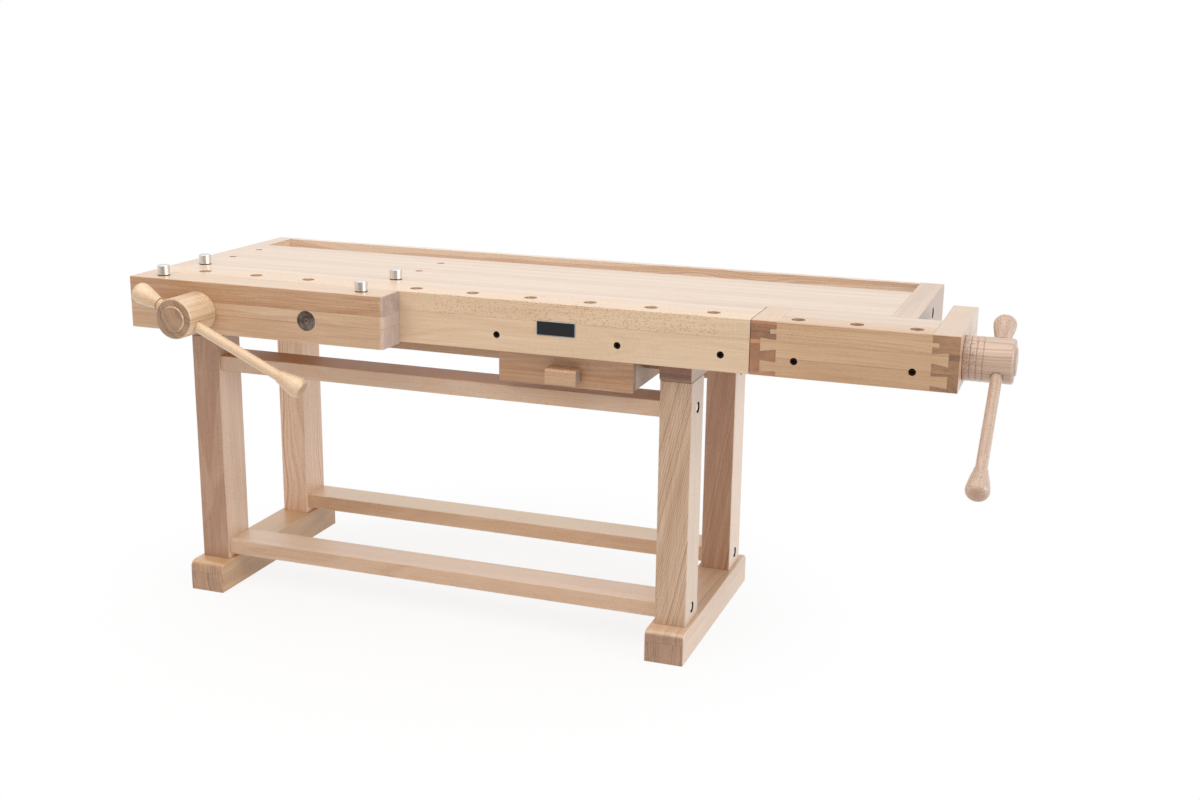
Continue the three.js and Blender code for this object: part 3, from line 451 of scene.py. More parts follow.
def stepped(tree, value, stops):  # a colour ramp in steps; each stop is its start and its colour
    node = put(tree, "ValToRGB", {0: value})
    node.color_ramp.interpolation = "CONSTANT"
    elements = node.color_ramp.elements
    elements.remove(elements[1])
    elements[0].color = stops[0][1]
    for start, colour in stops[1:]:
        elements.new(start).color = colour
    return put(tree, "SeparateColor", {0: node.outputs[0]}).outputs


beechFinish = {"IOR": 1.5, "Coat Weight": 1.0, "Coat Roughness": 0.36}
beechRelief = {"Strength": 0.05, "Distance": 0.001}
glueLine = 0.0005  # half its width in metres
mostStaves = 32
# painted shade: wood within this radius of a bolt recess's axis is painted this dark brown, for the shade
# inside the recess
recessShade = {"radius": 0.0137, "colour": "#361d11"}
freePith = {"Pith": (0, 0, -0.09), "Scatter": 0.23}  # each stave draws its own about this place


def beech(name, direction, corner, seed, tone, staves=None, pith=None, shadedRecesses=(), **look):
    # direction is the grain's and corner the lowest corner of the piece; staves are the axis that they
    # follow each other on, the board's size on it, and each stave's start, lightness and flecks; pith is
    # the place of the rings' middle across the grain, from that corner; the recess points
    # are on the axes of bolt recesses along x, inside which the wood is painted dark brown as painted shade
    turn = turnToX(direction)
    material, tree = newMaterial(name)
    place = put(tree, "TexCoord").outputs
    mapped = laidAlong(tree, place["Object"], turn, corner)
    sockets = {"Vector": place["Normal"], "Rotation": tuple(turn.to_euler())}
    facing = put(tree, "Mapping", sockets, vector_type="VECTOR").outputs[0]
    pale, dark, end = (tint(code) for code in tones[tone])
    values = {"Vector": mapped, "Facing": facing, "Seed": seed, "Pale": pale, "Dark": dark, "End": end}
    values.update({"Pith": (0, *pith), "Scatter": 0.0} if pith else freePith)
    for key, value in {**plainLook, **look}.items():
        values[key.capitalize()] = value
    grain = put(tree, "Group", values, node_tree=beechGrain)
    if staves:
        axis, size, steps = staves
        share = calc(tree, "DIVIDE", parted(tree, mapped)[axis], size)
        drawn = stepped(tree, share, [
            (start, (i / mostStaves, light, flecks, 1)) for i, (start, light, flecks) in enumerate(steps)
        ])
        line = glueLine / size
        edges = [(0.0, (0, 0, 0, 1))]
        for start, _, _ in steps[1:]:
            edges += [(start - line, (1, 1, 1, 1)), (start + line, (0, 0, 0, 1))]
        glue = stepped(tree, share, edges)
        for socket, value in zip(("Stave", "Light", "Flecks", "Glue"), (*drawn[:3], glue[0])):
            tree.links.new(value, grain.inputs[socket])
    colour = grain.outputs["Color"]
    # painted shade: dark brown inside each bolt recess, in place of the shade that falls there
    for point in shadedRecesses:
        offset = calcVector(tree, "SUBTRACT", place["Object"], tuple(point))
        aside = calcVector(tree, "MULTIPLY", offset, (0, 1, 1))
        away = calcNumber(tree, "LENGTH", aside)
        inside = calc(tree, "LESS_THAN", away, recessShade["radius"])
        colour = blendColour(tree, inside, colour, tint(recessShade["colour"]))
    relief = put(tree, "Bump", {"Height": grain.outputs["Height"], **beechRelief}).outputs[0]
    varied = {"Base Color": colour, "Roughness": grain.outputs["Roughness"], "Normal": relief}
    shaderOut(tree, {**varied, **beechFinish})
    return material


# boards: the grain's direction, its staves and the look of each wooden CAD piece

along = {"x": (1, 0, 0), "y": (0, 1, 0), "z": (0, 0, 1)}
# the bearers are darker in their lowest stave, a lamination that also paints the shade under their rounded
# ends
bearerStavesAndShade = (2, [(0, 0.3, 0.2), (0.15, 0.6, 0.2)])
boards = {
    # staves: the axis across the grain, then each one's start, lightness and flecks, or how many there are
    "front_beam": dict(
        grain="x", seed=3, tone="frame", cut=0.1, pith=(-0.3, 0.06),
        staves=(2, [(0, 0.65, 0.25), (0.63, 0.55, 0.8)]),
    ),
    # painted light: the jaw's cut also makes its top paler than its front, for the sheen on the top
    "front_jaw": dict(
        grain="x", seed=8, tone="jaw", sway=0.07, cut=0.57, pith=(-0.2, 0.06),
        staves=(2, [(0, 0.67, 0.2), (0.38, 0.78, 0.2), (0.62, 0.46, 0.3)]),
    ),
    "front_batten": dict(grain="x", seed=12, tone="frame"),
    "bench_slab": dict(grain="x", seed=21, tone="top", staves=(1, 9), figure=0.65, lines=0.4),
    "tray_bottom": dict(grain="x", seed=26, tone="top", staves=(1, 3)),
    "rear_rail": dict(
        grain="x", seed=31, tone="rail", figure=0.8, light=0.84, sway=0.15, lines=0.6, rings=110.0,
        pith=(0.12, -0.1),
    ),
    "left_end_cap": dict(grain="y", seed=35, tone="top"),
    "right_end_cap": dict(grain="y", seed=38, tone="cap", light=0.3, cut=0.7, pith=(-0.3, 0.04)),
    "tail_front_board": dict(
        grain="x", seed=44, tone="tail",
        staves=(2, [(0, 0.33, 0.2), (0.34, 0.56, 0.2), (0.63, 0.42, 0.3)]),
    ),
    "tail_jaw_block": dict(
        grain="y", seed=47, tone="block",
        staves=(2, [
            (0, 0.7, 0.2), (0.08, 0.4, 0.2), (0.575, 1.1, 0.2),
            (0.655, 0.3, 0.2), (0.93, 0.9, 0.2), (0.985, 0.42, 0.2),
        ]),
    ),
    "tail_end_block": dict(
        grain="y", seed=52, tone="hewn",
        staves=(2, [(0, 0.36, 0.2), (0.32, 0.66, 0.2), (0.57, 0.0, 0.2), (0.67, 0.65, 0.2)]),
    ),
    "tail_cover_board": dict(grain="x", seed=55, tone="top", staves=(1, 2)),
    "left_foot": dict(
        grain="y", seed=61, tone="tan", lines=0.6, cut=0.6, pith=(-0.3, 0.04),
        staves=(2, [(0, 0.68, 0.3), (0.64, 0.74, 0.3)]),
    ),
    "right_foot": dict(
        grain="y", seed=64, tone="foot", lines=0.5, cut=0.3, pith=(-0.3, 0.04),
        staves=(2, [(0, 0.76, 0.3), (0.64, 0.66, 0.3)]),
    ),
    "left_top_bearer": dict(grain="y", seed=67, tone="rose", staves=bearerStavesAndShade),
    "right_top_bearer": dict(grain="y", seed=71, tone="rose", staves=bearerStavesAndShade),
    # painted light and shade: each leg's light and cut are set so that its front and its right side come
    # out as lit and shaded
    "left_front_leg": dict(
        grain="z", seed=74, tone="split", light=0.67, lines=0.5, contrast=0.6, cut=0.62, pith=(-0.3, 0.03),
    ),
    "left_rear_leg": dict(
        grain="z", seed=77, tone="amber", light=1.0, figure=0.35, lines=0.8, flecks=0.4, sway=0.1, cut=0.5,
        pith=(0.1, -0.02),
    ),
    "right_front_leg": dict(
        grain="z", seed=82, tone="cream", light=0.57, lines=0.7, contrast=0.8, rings=190.0, lean=0.25,
        sway=0.03, cut=-0.4, pith=(0.05, -0.4),
    ),
    "right_rear_leg": dict(
        grain="z", seed=85, tone="russet", light=0.6, lines=0.6, contrast=0.6, lean=0.15, cut=-0.8,
        pith=(0.05, -0.4),
    ),
    # painted light: a pale tone and a high cut make this stretcher's top paler, for light that reaches it
    # under the bench
    "front_lower_stretcher": dict(
        grain="x", seed=91, tone="pale", light=0.6, lines=0.4, cut=0.7, pith=(-0.3, 0.03),
    ),
    # painted shade: a dark, saturated tone and a negative cut darken this stretcher's top, for the shade
    # under the bench top
    "front_upper_stretcher": dict(
        grain="x", seed=94, tone="bridge", figure=0.55, sway=0.09, light=0.34, lines=0.5, contrast=1.2,
        cut=-0.73, pith=(-0.3, 0.03),
    ),
    # painted light: a bright tone and a high cut make this stretcher's top paler, for light that reaches it
    # under the bench
    "rear_lower_stretcher": dict(
        grain="x", seed=97, tone="bright", light=0.95, contrast=0.75, cut=0.8, pith=(-0.3, 0.03),
    ),
    "rear_upper_stretcher": dict(grain="x", seed=101, tone="base"),
    # painted shade: the drawer front's low lightness darkens it, for the shade under the beam
    "drawer_front": dict(grain="x", seed=104, tone="jaw", light=0.27),
    "drawer_left_side": dict(grain="y", seed=107, tone="top"),
    "drawer_right_side": dict(grain="y", seed=111, tone="top"),
    "drawer_back": dict(grain="x", seed=114, tone="top"),
    "drawer_bottom": dict(grain="x", seed=117, tone="top", staves=(1, 4)),
    "drawer_pull": dict(grain="x", seed=121, tone="jaw", light=0.34),
    "left_drawer_runner": dict(grain="y", seed=124, tone="base"),
    "right_drawer_runner": dict(grain="y", seed=127, tone="base"),
}


endBolt = {"inset": 262.5, "drop": 36.0, "floor": 10.9}  # in the right end cap


def endBoltSeat(shape):  # floor of the recess in the right end cap
    low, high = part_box("right_end_cap")
    return Vector((high.x - shape["floor"] * mm, low.y + shape["inset"] * mm, high.z - shape["drop"] * mm))


def recesses(node):  # points on the axes of the bolt recesses in a leg or the right end cap
    if node == "right_end_cap":
        return [endBoltSeat(endBolt)]
    if not node.endswith("_leg"):
        return []
    boxes = [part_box(node.replace("leg", level + "_bolt")) for level in ("lower", "upper")]
    return [(low + high) / 2 for low, high in boxes]


def dress(node, material):
    nodes[node].data.materials.clear()
    nodes[node].data.materials.append(material)


drawnStaves = {"shift": 0.12, "light": (0.42, 0.7), "flecks": 0.35}  # where only their number is given


def dressBoards(drawn):
    for node, look in boards.items():
        settings = dict(look)
        direction = Vector(along[settings.pop("grain")])
        turn = turnToX(direction)
        ends = np.array([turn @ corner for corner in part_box(node)])
        low, size = ends.min(0), np.ptp(ends, axis=0)
        if "staves" in settings:
            axis, steps = settings["staves"]
            if isinstance(steps, int):
                draw = np.random.default_rng(settings["seed"])
                shifts = draw.uniform(-drawn["shift"], drawn["shift"], steps)
                starts = np.arange(steps) / steps + shifts / steps
                starts[0] = 0.0
                lights = draw.uniform(*drawn["light"], steps)
                steps = [(*pair, drawn["flecks"]) for pair in zip(starts.tolist(), lights.tolist())]
            settings["staves"] = (axis, float(size[axis]), steps)
        corner = turn.inverted() @ Vector(low)
        dress(node, beech(node + "Beech", direction, corner, shadedRecesses=recesses(node), **settings))


dressBoards(drawnStaves)
print("boards dressed:", len(boards))


# metals

steelShape = {"octaves": 3.0, "blotches": 60.0, "shine": 0.18, "bumpDepth": 0.0005}


def steel(name, centre, axis, colours, rough, grain, bump=0.04, spread=0.4, gapShade=None):
    # turned metal: fine rings over the distance along the axis and from it, with soft blotches; the ring
    # argument is painted shadow, from one length along the axis to another, and its colour
    material, tree = newMaterial(name)
    placed = laidAlong(tree, put(tree, "TexCoord").outputs["Object"], turnToX(axis), centre)
    parts = parted(tree, placed)
    aside = put(tree, "CombineXYZ", {0: 0.0, 1: parts[1], 2: parts[2]}).outputs[0]
    reach = calcNumber(tree, "LENGTH", aside)
    rings = noiseAlong(tree, calc(tree, "ADD", reach, parts[0]), grain, steelShape["octaves"])
    blotch = noise(tree, placed, steelShape["blotches"], steelShape["octaves"])
    shade = calc(tree, "MULTIPLY_ADD", rings, 0.5, times(tree, blotch, 0.5))
    shade = ramp(tree, shade, 0.5 - spread, 0.5 + spread)
    shine = calc(tree, "MULTIPLY_ADD", blotch, steelShape["shine"], rough - steelShape["shine"] / 2)
    relief = put(tree, "Bump", {"Strength": bump, "Distance": steelShape["bumpDepth"], "Height": rings})
    metal = blendColour(tree, shade, *(tint(code) for code in colours))
    # painted shadow: a dark band between the two lengths along the axis
    if gapShade:
        above = calc(tree, "GREATER_THAN", parts[0], gapShade[0])
        within = times(tree, above, calc(tree, "LESS_THAN", parts[0], gapShade[1]))
        metal = blendColour(tree, within, metal, tint(gapShade[2]))
    shaderOut(tree, {"Base Color": metal, "Metallic": 1.0, "Roughness": shine, "Normal": relief.outputs[0]})
    return material


blackShape = {
    "colours": ("#1b1512", "#3d2d25"),
    "wear": (420.0, 3.0),  # noise: features to the metre, octaves
    "wearEdge": (0.45, 0.75),
    "metallic": 0.85,
    "roughness": (0.15, 0.42),
}


def blackened(name, shape):  # oil-blackened steel with a little brown wear
    material, tree = newMaterial(name)
    place = put(tree, "TexCoord").outputs["Object"]
    wear = ramp(tree, noise(tree, place, *shape["wear"]), *shape["wearEdge"])
    shaderOut(tree, {
        "Base Color": blendColour(tree, wear, *(tint(code) for code in shape["colours"])),
        "Metallic": shape["metallic"],
        "Roughness": calc(tree, "MULTIPLY_ADD", wear, *shape["roughness"]),
    })
    return material


boltBlack = blackened("boltBlack", blackShape)
boltZinc = steel("boltZinc", (0, 0, 0), (1, 0, 0), ("#dcdee1", "#fafafb"), rough=0.3, grain=600.0)
for nodeName in nodes:
    if nodeName.startswith(("beam_bolt", "tail_bolt")):
        dress(nodeName, boltBlack)
castGrey = steel("castGrey", (0, 0, 0), (1, 0, 0), ("#5d5b58", "#8b8985"), rough=0.5, grain=260.0)
for nodeName in ("front_nut", "tail_nut_block", "tail_guide_rod"):
    dress(nodeName, castGrey)
print("metals dressed")


# turned pieces: a profile of radius over length, carried round an axis

sharpAngle = math.radians(32)
straightHalf = 1.5  # half angle of a corner, in radians, above which it needs no fillet


def rounded(corners, steps=6):
    # corners are (radius, length, fillet); each fillet is an arc that touches both sides
    points = np.array([corner[:2] for corner in corners], float)
    made = [points[0]]
    for i in range(1, len(corners) - 1):
        fillet = corners[i][2]
        before, after = points[i - 1] - points[i], points[i + 1] - points[i]
        before, after = before / np.linalg.norm(before), after / np.linalg.norm(after)
        half = math.acos(np.clip(before @ after, -1, 1)) / 2
        if fillet <= 0 or half > straightHalf:
            made.append(points[i])
            continue
        back = fillet / math.tan(half)
        middle = before + after
        centre = points[i] + middle / np.linalg.norm(middle) * fillet / math.sin(half)
        start = points[i] + before * back - centre
        stop = points[i] + after * back - centre
        sweep = math.atan2(start[0] * stop[1] - start[1] * stop[0], start @ stop)
        angle = np.linspace(0, sweep, steps + 1)
        turn = np.array([[np.cos(angle), -np.sin(angle)], [np.sin(angle), np.cos(angle)]])
        made.extend(centre + np.einsum("ijk,j->ki", turn, start))
    made.append(points[-1])
    return np.array(made)


def meshFrom(name, points, faces):
    mesh = bpy.data.meshes.new(name)
    mesh.from_pydata(points.tolist(), [], faces)
    mesh.shade_smooth()
    mesh.set_sharp_from_angle(angle=sharpAngle)
    mesh.update()
    piece = bpy.data.objects.new(name, mesh)
    scene.collection.objects.link(piece)
    return piece


def ringFaces(rings, sides):
    # quads between neighbouring rings, and a fan to a single point at each end
    i, j = np.meshgrid(np.arange(rings - 1), np.arange(sides), indexing="ij")
    near, far = i * sides + j, i * sides + (j + 1) % sides
    quads = np.stack([near, far, far + sides, near + sides], axis=-1).reshape(-1, 4).tolist()
    k = np.arange(sides)
    first, last = rings * sides, rings * sides + 1
    top = (rings - 1) * sides
    caps = [np.stack([np.full(sides, first), (k + 1) % sides, k], axis=-1)]
    caps.append(np.stack([np.full(sides, last), top + k, top + (k + 1) % sides], axis=-1))
    return quads + np.concatenate(caps).tolist()


def sweptRound(name, radius, length, ends, base, axis, sides):
    # point = base + length * axis + radius * (cos a * first + sin a * second), a all the way round; ends
    # are the lengths of the two points on the axis that close the shape
    axis = np.array(Vector(axis).normalized())
    upright = abs(axis[2]) > 0.9
    first = np.cross((1.0, 0.0, 0.0) if upright else (0.0, 0.0, 1.0), axis)
    first /= np.linalg.norm(first)
    second = np.cross(axis, first)
    angle = np.arange(sides) * 2 * np.pi / sides
    circle = np.cos(angle)[:, None] * first + np.sin(angle)[:, None] * second
    grid = radius[..., None] * circle[None] + length[:, None, None] * axis
    points = np.concatenate([grid.reshape(-1, 3), ends[:, None] * axis]) * mm + np.array(base)
    return meshFrom(name, points, ringFaces(len(length), sides))


def turned(name, profile, base, axis, sides=64):  # the profile starts and ends on the axis
    return sweptRound(name, profile[1:-1, :1], profile[1:-1, 1], profile[[0, -1], 1], base, axis, sides)


def threaded(name, profile, base, axis, thread, sides=48):
    # as turned, but between thread's ends the radius is cut down by a trapezoid of length/pitch - turn
    start, stop, pitch = thread["from"], thread["to"], thread["pitch"]
    run = np.linspace(start, stop, int((stop - start) / pitch * thread["steps"]))
    length = np.unique(np.concatenate([profile[1:-1, 1], run]))
    radius = np.interp(length, profile[1:-1, 1], profile[1:-1, 0])
    phase = length[:, None] / pitch - np.arange(sides)[None] / sides
    wave = np.abs((phase % 1.0) - 0.5) * 2
    groove = np.clip((wave - thread["crest"]) / thread["flank"], 0, 1)
    inside = np.clip(np.minimum(length - start, stop - length) / pitch, 0, 1)
    radius = radius[:, None] - thread["depth"] * groove * inside[:, None]
    return sweptRound(name, radius, length, profile[[0, -1], 1], base, axis, sides)


def finishPiece(piece, body, slot, material, *replaced):
    piece.data.materials.append(material)
    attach(piece, body)
    if replaced:
        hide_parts(*replaced)


def bored(piece, cutter):  # the piece with the cutter's shape taken out
    modifier = piece.modifiers.new("bore", "BOOLEAN")
    modifier.object = cutter
    modifier.solver = "EXACT"
    made = bpy.data.meshes.new_from_object(piece.evaluated_get(bpy.context.evaluated_depsgraph_get()))
    piece.modifiers.clear()
    old = piece.data
    piece.data = made
    made.name = old.name
    bpy.data.meshes.remove(old)
    bpy.data.objects.remove(cutter)
    made.shade_smooth()
    made.set_sharp_from_angle(angle=sharpAngle)


# vise hubs and handles

hubShape = {
    "diameter": 98.0,
    "length": 105.0,
    "grooves": (14.0, 27.7, 41.3),  # from the base
    "grooveWidth": 3.4,
    "grooveDepth": 1.8,
    "grooveEdges": (0.6, 0.5),  # roundings of its lips and its floor
    "baseEdge": 1.2,
    "rim": 6.0,  # rounding of the front edge
    "disc": 30.0,  # radius of the raised disc on the front
    # corners of the ring turned round the disc and of the disc itself: out from the disc's edge, up from
    # the front, rounding
    "face": [(5.0, 0.0, 1.5), (1.5, -1.6, 1.0), (-0.5, 4.0, 2.0), (-15.0, 3.4, 8.0), (-30.0, 3.2, 0.0)],
    "handlePlace": 72.8,
    "drill": 90.0,  # reach of the handle's hole to either side
    "gap": 0.5,
}
handleShape = {
    "length": 499.0,
    "stick": 25.0,
    "knob": 50.0,
    "knobLength": 72.0,
    "dome": 20.0,  # from the tip to the widest ring
    "collar": 31.0,
    "collarLength": 4.0,
    "collarEdge": 0.8,
    "collarStep": 0.3,
    "stickInset": 20.0,  # plain rings of the stick begin so far from the knobs
    "stickRings": 12,
    "swell": 1.4,  # 1 makes the taper a plain cone, more keeps it full for longer
    "hole": 27.0,
    "slide": {"front": 16.3, "tail": 4.5},  # upper knob's distance from the hub
}


def hubProfile(shape):  # a cylinder with V grooves and a rounded rim; a ring is sunk round the front's disc
    radius, length, half = shape["diameter"] / 2, shape["length"], shape["grooveWidth"] / 2
    lip, floor = shape["grooveEdges"]
    corners = [(0, 0, 0), (radius, 0, shape["baseEdge"])]
    for groove in shape["grooves"]:
        bottom = (radius - shape["grooveDepth"], groove, floor)
        corners += [(radius, groove - half, lip), bottom, (radius, groove + half, lip)]
    corners.append((radius, length, shape["rim"]))
    corners += [(shape["disc"] + out, length + up, fillet) for out, up, fillet in shape["face"]]
    return rounded(corners) + np.array([0, shape["gap"]])


def knobProfile(shape, steps=24):
    # a quarter ellipse for the dome, then a taper that falls as a power of its length, down to the collar
    widest, collar, dome = shape["knob"] / 2, shape["collar"] / 2, shape["dome"]
    taper = shape["knobLength"] - shape["collarLength"] - dome
    angle = np.linspace(0, np.pi / 2, steps)
    cap = np.stack([widest * np.sin(angle), dome * (1 - np.cos(angle))], axis=-1)
    t = np.linspace(0, 1, steps)[1:]
    side = np.stack([widest - (widest - collar) * t ** shape["swell"], dome + taper * t], axis=-1)
    length, edge = shape["knobLength"], shape["collarEdge"]
    foot = [(collar, length - edge), (collar - edge, length)]
    foot.append((shape["stick"] / 2, length + shape["collarStep"]))
    return np.concatenate([cap, side, foot])


def handleProfile(shape):  # a knob, the straight stick and the same knob the other way round
    knob = knobProfile(shape)
    inset = shape["knobLength"] + shape["stickInset"]
    middle = np.linspace(inset, shape["length"] - inset, shape["stickRings"])
    stick = np.stack([np.full(len(middle), shape["stick"] / 2), middle], axis=-1)
    far = knob[::-1] * np.array([1, -1]) + np.array([0, shape["length"]])
    return np.concatenate([knob, stick, far])


def fromJoint(name, *keys):  # the joint's values as arrays
    found = next(item for item in frame["joints"] if item["name"] == name)
    return [np.array(found[key], float) for key in keys]


screwShape = {
    "diameter": 28.0,
    "collar": 44.0,
    "collarThickness": 10.0,
    "seat": 46.0,  # into the hub
    "tip": 3.0,
    "bevel": 0.6,
    "gap": 0.05,  # under the hub
    "plain": 26.0,  # unthreaded stretch behind the collar
    "finish": {"colours": ("#6f6c68", "#a8a5a0"), "rough": 0.36, "grain": 500.0},
    "thread": {"pitch": 8.0, "depth": 2.6, "crest": 0.3, "flank": 0.4, "steps": 10},
}


def screwProfile(shape, reach):  # a bar with a bevelled tip, a collar under the hub and a seat inside it
    radius, collar, thick = shape["diameter"] / 2, shape["collar"] / 2, shape["collarThickness"]
    bevel = shape["bevel"]
    return np.array([
        (0, -reach),
        (radius - shape["tip"], -reach),
        (radius, -reach + shape["tip"]),
        (radius, -thick - bevel),
        (collar - bevel, -thick),
        (collar, -thick + bevel),
        (collar, -bevel),
        (collar - bevel, -shape["gap"]),
        (radius, 0),
        (radius, shape["seat"]),
        (0, shape["seat"]),
    ], float)


def makeViseScrew(side, seed, look):
    base, out = fromJoint(side + "_screw_turn", "pos_m", "axis")  # foot of the hub, and the way it points
    up, = fromJoint(side + "_handle_slide", "axis")
    body = side + "_screw"
    tone, pith = look["tone"], look["pith"]

    hub = turned(side + "_turned_hub", hubProfile(hubShape), base, out, sides=96)
    middle = base + out * hubShape["handlePlace"] * mm
    hole, drill = handleShape["hole"] / 2, hubShape["drill"]
    cutter = np.array([(0, -drill), (hole, -drill), (hole, drill), (0, drill)], float)
    bored(hub, turned(side + "_drill", cutter, middle, up, sides=48))
    hubBeech = beech(side + "HubBeech", out, base, seed, tone, pith=pith, **look["hub"])
    finishPiece(hub, body, "turned_beech", hubBeech, side + "_hub")

    tip = hubShape["diameter"] / 2 + hubShape["gap"]
    tip += handleShape["knobLength"] + handleShape["slide"][side]
    start = middle + up * (tip - handleShape["length"]) * mm
    handle = turned(side + "_turned_handle", handleProfile(handleShape), start, up, sides=48)
    handleBeech = beech(side + "HandleBeech", up, start, seed + 5, tone, pith=pith, **look["handle"])
    finishPiece(handle, side + "_handle", "turned_beech", handleBeech, side + "_handle")

    ends = np.abs(np.array(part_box(side + "_screw")) - base) @ np.abs(out)
    reach = float(ends.max()) / mm
    thread = dict(screwShape["thread"])
    thread["from"] = -reach + screwShape["tip"]
    thread["to"] = -screwShape["collarThickness"] - screwShape["plain"]
    screw = threaded(side + "_threaded_screw", screwProfile(screwShape, reach), base, out, thread)
    screwSteel = steel(side + "ScrewSteel", base, out, **screwShape["finish"])
    finishPiece(screw, body, "grey_steel", screwSteel, side + "_screw")


turnedLooks = {
    "front": {
        "tone": "honey",
        # partly end grain, partly painted sheen: on the front hub this pith and a strong figure lay light
        # and dark arcs diagonally across the turned face
        "pith": (0.06, 0.05),
        "hub": {"figure": 0.8, "lines": 0.6, "light": 0.42},
        "handle": {"figure": 0.6, "lines": 0.6, "light": 0.62},
    },
    "tail": {
        "tone": "dusk",
        "pith": (-0.05, 0.06),
        "hub": {"figure": 0.7, "lines": 0.5, "light": 0.58, "flecks": 0.75},
        "handle": {"figure": 0.6, "lines": 0.6, "light": 0.58, "flecks": 0.5},
    },
}
makeViseScrew("front", 203, turnedLooks["front"])
makeViseScrew("tail", 219, turnedLooks["tail"])
print("vise screws, hubs and handles made")


# guide bar of the front vise, its turned end flush with the jaw

guideShape = {
    "ring": 19.0,
    "ringDepth": 0.8,
    "ringWidth": 2.4,
    "ringEdge": 0.2,
    "centre": 3.0,
    "centreDepth": 2.0,
    "centreEdge": 0.3,
    "edge": 0.8,
    "finish": {
        "colours": ("#43372f", "#96867b"), "rough": 0.42, "grain": 450.0, "bump": 0.12, "spread": 0.14,
    },
}


def makeGuideBar(shape):  # a cylinder with a ring and a cone turned into its front
    low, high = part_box("front_guide_bar")
    radius = (high.x - low.x) / 2 / mm
    length = (high.y - low.y) / mm
    inner, outer = shape["ring"] - shape["ringWidth"] / 2, shape["ring"] + shape["ringWidth"] / 2
    depth, edge = shape["ringDepth"], shape["ringEdge"]
    profile = rounded([
        (0, shape["centreDepth"], 0),
        (shape["centre"], 0.0, shape["centreEdge"]),
        (inner, 0.0, edge),
        (inner, depth, edge),
        (outer, depth, edge),
        (outer, 0.0, edge),
        (radius, 0.0, shape["edge"]),
        (radius, length, shape["edge"]),
        (0, length, 0),
    ])
    profile[:, 1] = length - profile[:, 1]
    base = np.array(((low.x + high.x) / 2, high.y, (low.z + high.z) / 2))
    bar = turned("front_guide_steel", profile[::-1], base, (0, -1, 0), sides=80)
    look = steel("guideSteel", base, (0, -1, 0), **shape["finish"])
    finishPiece(bar, "front_jaw", "grey_steel", look, "front_guide_bar")


makeGuideBar(guideShape)


# bench dogs

dogShape = {
    "edge": 1.6,
    "dish": 0.25,  # its depth in the top
    "dishSize": 0.8,  # its share of the top
    "dishEdge": 0.5,
    "finish": {"colours": ("#d0c8c2", "#ebe6e1"), "rough": 0.4, "grain": 1400.0, "bump": 0.03},
    "gapShade": 2.2,  # height of the painted shadow ring where it stands in its hole, for the shade of the gap round it
    "gapShadeColour": "#4a3524",
}


def makeDog(node):  # a cylinder with rounded edges and a flat cone for the dish in its top
    low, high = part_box(node)
    radius = (high.x - low.x) / 2 / mm
    length = (high.z - low.z) / mm
    profile = rounded([
        (0, 0, 0),
        (radius, 0, dogShape["edge"]),
        (radius, length, dogShape["edge"]),
        (radius * dogShape["dishSize"], length, dogShape["dishEdge"]),
        (0, length - dogShape["dish"], 0),
    ])
    base = np.array(((low.x + high.x) / 2, (low.y + high.y) / 2, low.z))
    piece = turned(node + "_steel", profile, base, (0, 0, 1))
    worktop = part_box("bench_slab")[1].z - low.z
    # painted shadow: a dark ring on the dog just above the worktop, where the gap round it lies in shade
    gapShade = (worktop, worktop + dogShape["gapShade"] * mm, dogShape["gapShadeColour"])
    look = steel(node + "Steel", base, (0, 0, 1), gapShade=gapShade, **dogShape["finish"])
    finishPiece(piece, node, "bright_steel", look, node)


for side in ("left", "right"):
    makeDog("jaw_" + side + "_dog")
    makeDog("slab_" + side + "_dog")
print("dogs and guide bar made")


# plain plate on the beam: a black face inside a thin bright edge

plateShape = {
    "corner": 3.0,
    "cornerLoss": 0.8,  # most of the corner's radius that an inner ring may lose
    "edge": 1.3,
    "sink": 0.25,
    "faceInset": 2.0,
    "steps": 8,
    "enamel": ("#0a0b0d", "#15171b"),
    "rim": "#aab4c0",
    "rimBlur": 0.0001,
    "clouds": 900.0,
    "roughness": (0.1, 0.3),
}


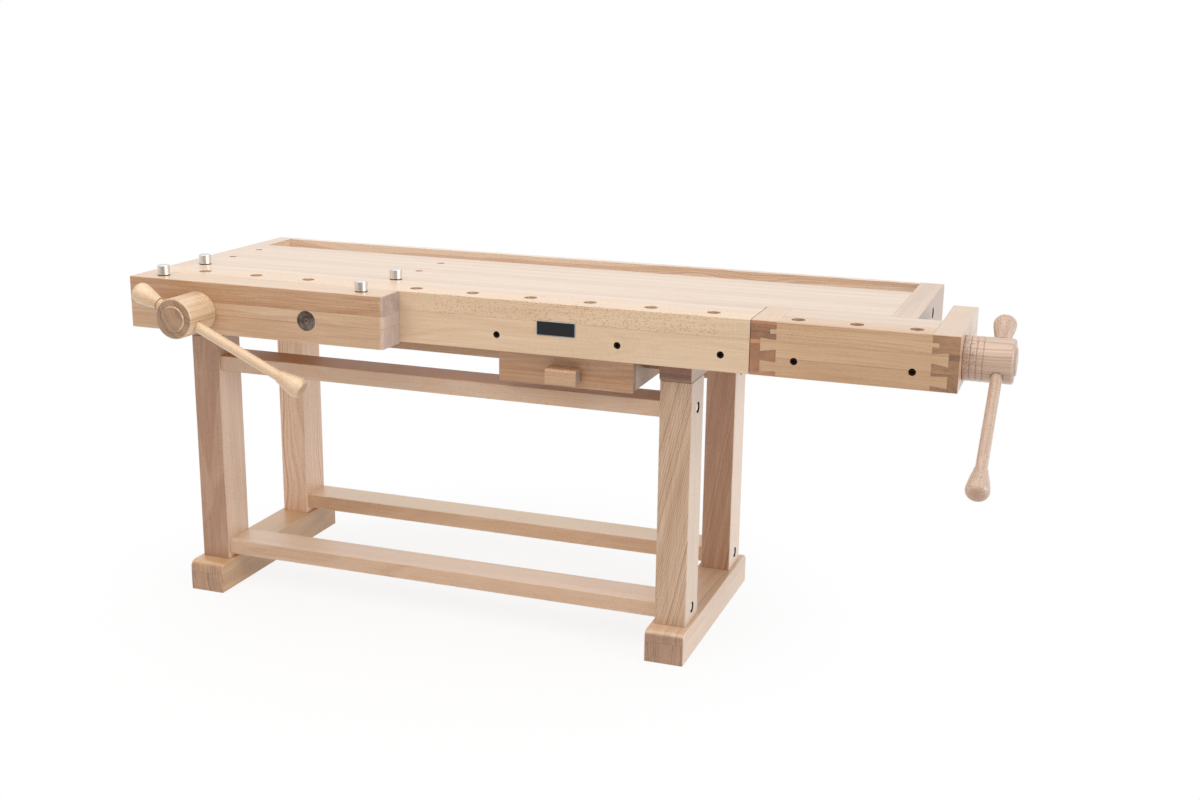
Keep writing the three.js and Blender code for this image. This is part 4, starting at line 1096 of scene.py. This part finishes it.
def makePlate(shape):
    # a rounded rectangle as closed rings: the back edge, the front edge, the rim's inner edge, the face
    low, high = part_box("blank_plate")
    centre = (low + high) / 2
    half = np.array([(high.x - low.x) / 2, (high.z - low.z) / 2])
    steps = shape["steps"]
    angle = np.linspace(0, np.pi / 2, steps)
    quarter = np.stack([np.cos(angle), np.sin(angle)], axis=-1)
    turns = [np.array([[c, -s], [s, c]]) for c, s in ((1, 0), (0, 1), (-1, 0), (0, -1))]
    signs = np.array([(1, 1), (-1, 1), (-1, -1), (1, -1)], float)

    def ring(inset, y):
        corner = shape["corner"] * mm - min(inset, shape["corner"] * mm * shape["cornerLoss"])
        inner = half - inset - corner
        flat = np.concatenate([signs[k] * inner + corner * quarter @ turns[k].T for k in range(4)])
        return np.stack([centre.x + flat[:, 0], np.full(len(flat), y), centre.z + flat[:, 1]], axis=-1)

    edge, sink = shape["edge"] * mm, shape["sink"] * mm
    rings = [ring(0, high.y), ring(0, low.y + sink), ring(sink, low.y), ring(edge, low.y)]
    rings += [ring(edge + sink, low.y + sink), ring(edge + shape["faceInset"] * mm, low.y + sink)]
    points = np.concatenate(rings + [[(centre.x, high.y, centre.z)], [(centre.x, low.y + sink, centre.z)]])
    plate = meshFrom("plain_plate", points, ringFaces(len(rings), 4 * steps))
    material, tree = newMaterial("plateEnamel")
    place = put(tree, "TexCoord").outputs["Object"]
    offset = calcVector(tree, "SUBTRACT", place, tuple(centre))
    away = parted(tree, calcVector(tree, "ABSOLUTE", offset))
    nearX = calc(tree, "SUBTRACT", away[0], float(half[0] - edge))
    nearZ = calc(tree, "SUBTRACT", away[2], float(half[1] - edge))
    rim = ramp(tree, calc(tree, "MAXIMUM", nearX, nearZ), -shape["rimBlur"], shape["rimBlur"])
    cloud = noise(tree, place, shape["clouds"])
    black = blendColour(tree, cloud, *(tint(code) for code in shape["enamel"]))
    shaderOut(tree, {
        "Base Color": blendColour(tree, rim, black, tint(shape["rim"])),
        "Metallic": rim,
        "Roughness": calc(tree, "MULTIPLY_ADD", cloud, *shape["roughness"]),
    })
    finishPiece(plate, "bench", "dark_plate", material, "blank_plate")


makePlate(plateShape)
print("plate made")


# hexagon bolts with their washers, deep in the recesses of the legs and the right end cap

hexBolt = {
    "shank": 5.0,
    "head": 9.5,
    "height": 6.3,
    "washer": 12.0,
    "washerThick": 2.5,
    "edges": (0.8, 0.6, 1.0),  # roundings of the shank's end, the washer and the head
    "stub": 1.0,  # length of the end cap's shank
    "cadHead": 10.5,
}


def makeHexBolt(name, seat, out, shank, shape, *replaced):
    # shank and washer are carried round as one profile, the head's in six steps
    radius, washer, thick = shape["shank"], shape["washer"], shape["washerThick"]
    wide, top = shape["head"], thick + shape["height"]
    shankEdge, washerEdge, headEdge = shape["edges"]
    body = rounded([
        (0, -shank, 0),
        (radius, -shank, shankEdge),
        (radius, 0, 0),
        (washer, 0, 0),
        (washer, thick, washerEdge),
        (0, thick, 0),
    ])
    head = rounded([(0, 0, 0), (wide, 0, 0), (wide, top, headEdge), (0, top, 0)])
    shankPiece = turned(name + "_shank", body, seat, out, sides=40)
    headPiece = turned(name + "_head", head, seat, out, sides=6)
    finishPiece(shankPiece, "bench", "zinc_bolts", boltZinc, *replaced)
    finishPiece(headPiece, "bench", "zinc_bolts", boltZinc)


def makeStretcherBolts(shape):
    for name in [name for name in nodes if name.endswith("_bolt")]:
        low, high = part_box(name)
        out = -1 if name.startswith("left") else 1
        face = low.x if out < 0 else high.x
        seat = np.array((face - out * shape["cadHead"] * mm, (low.y + high.y) / 2, (low.z + high.z) / 2))
        shank = (high.x - low.x) / mm - shape["cadHead"]
        makeHexBolt(name + "_steel", seat, (out, 0, 0), shank, shape, name)
    makeHexBolt("end_cap_bolt", np.array(endBoltSeat(endBolt)), (1, 0, 0), shape["stub"], shape)


makeStretcherBolts(hexBolt)
print("bolts made")
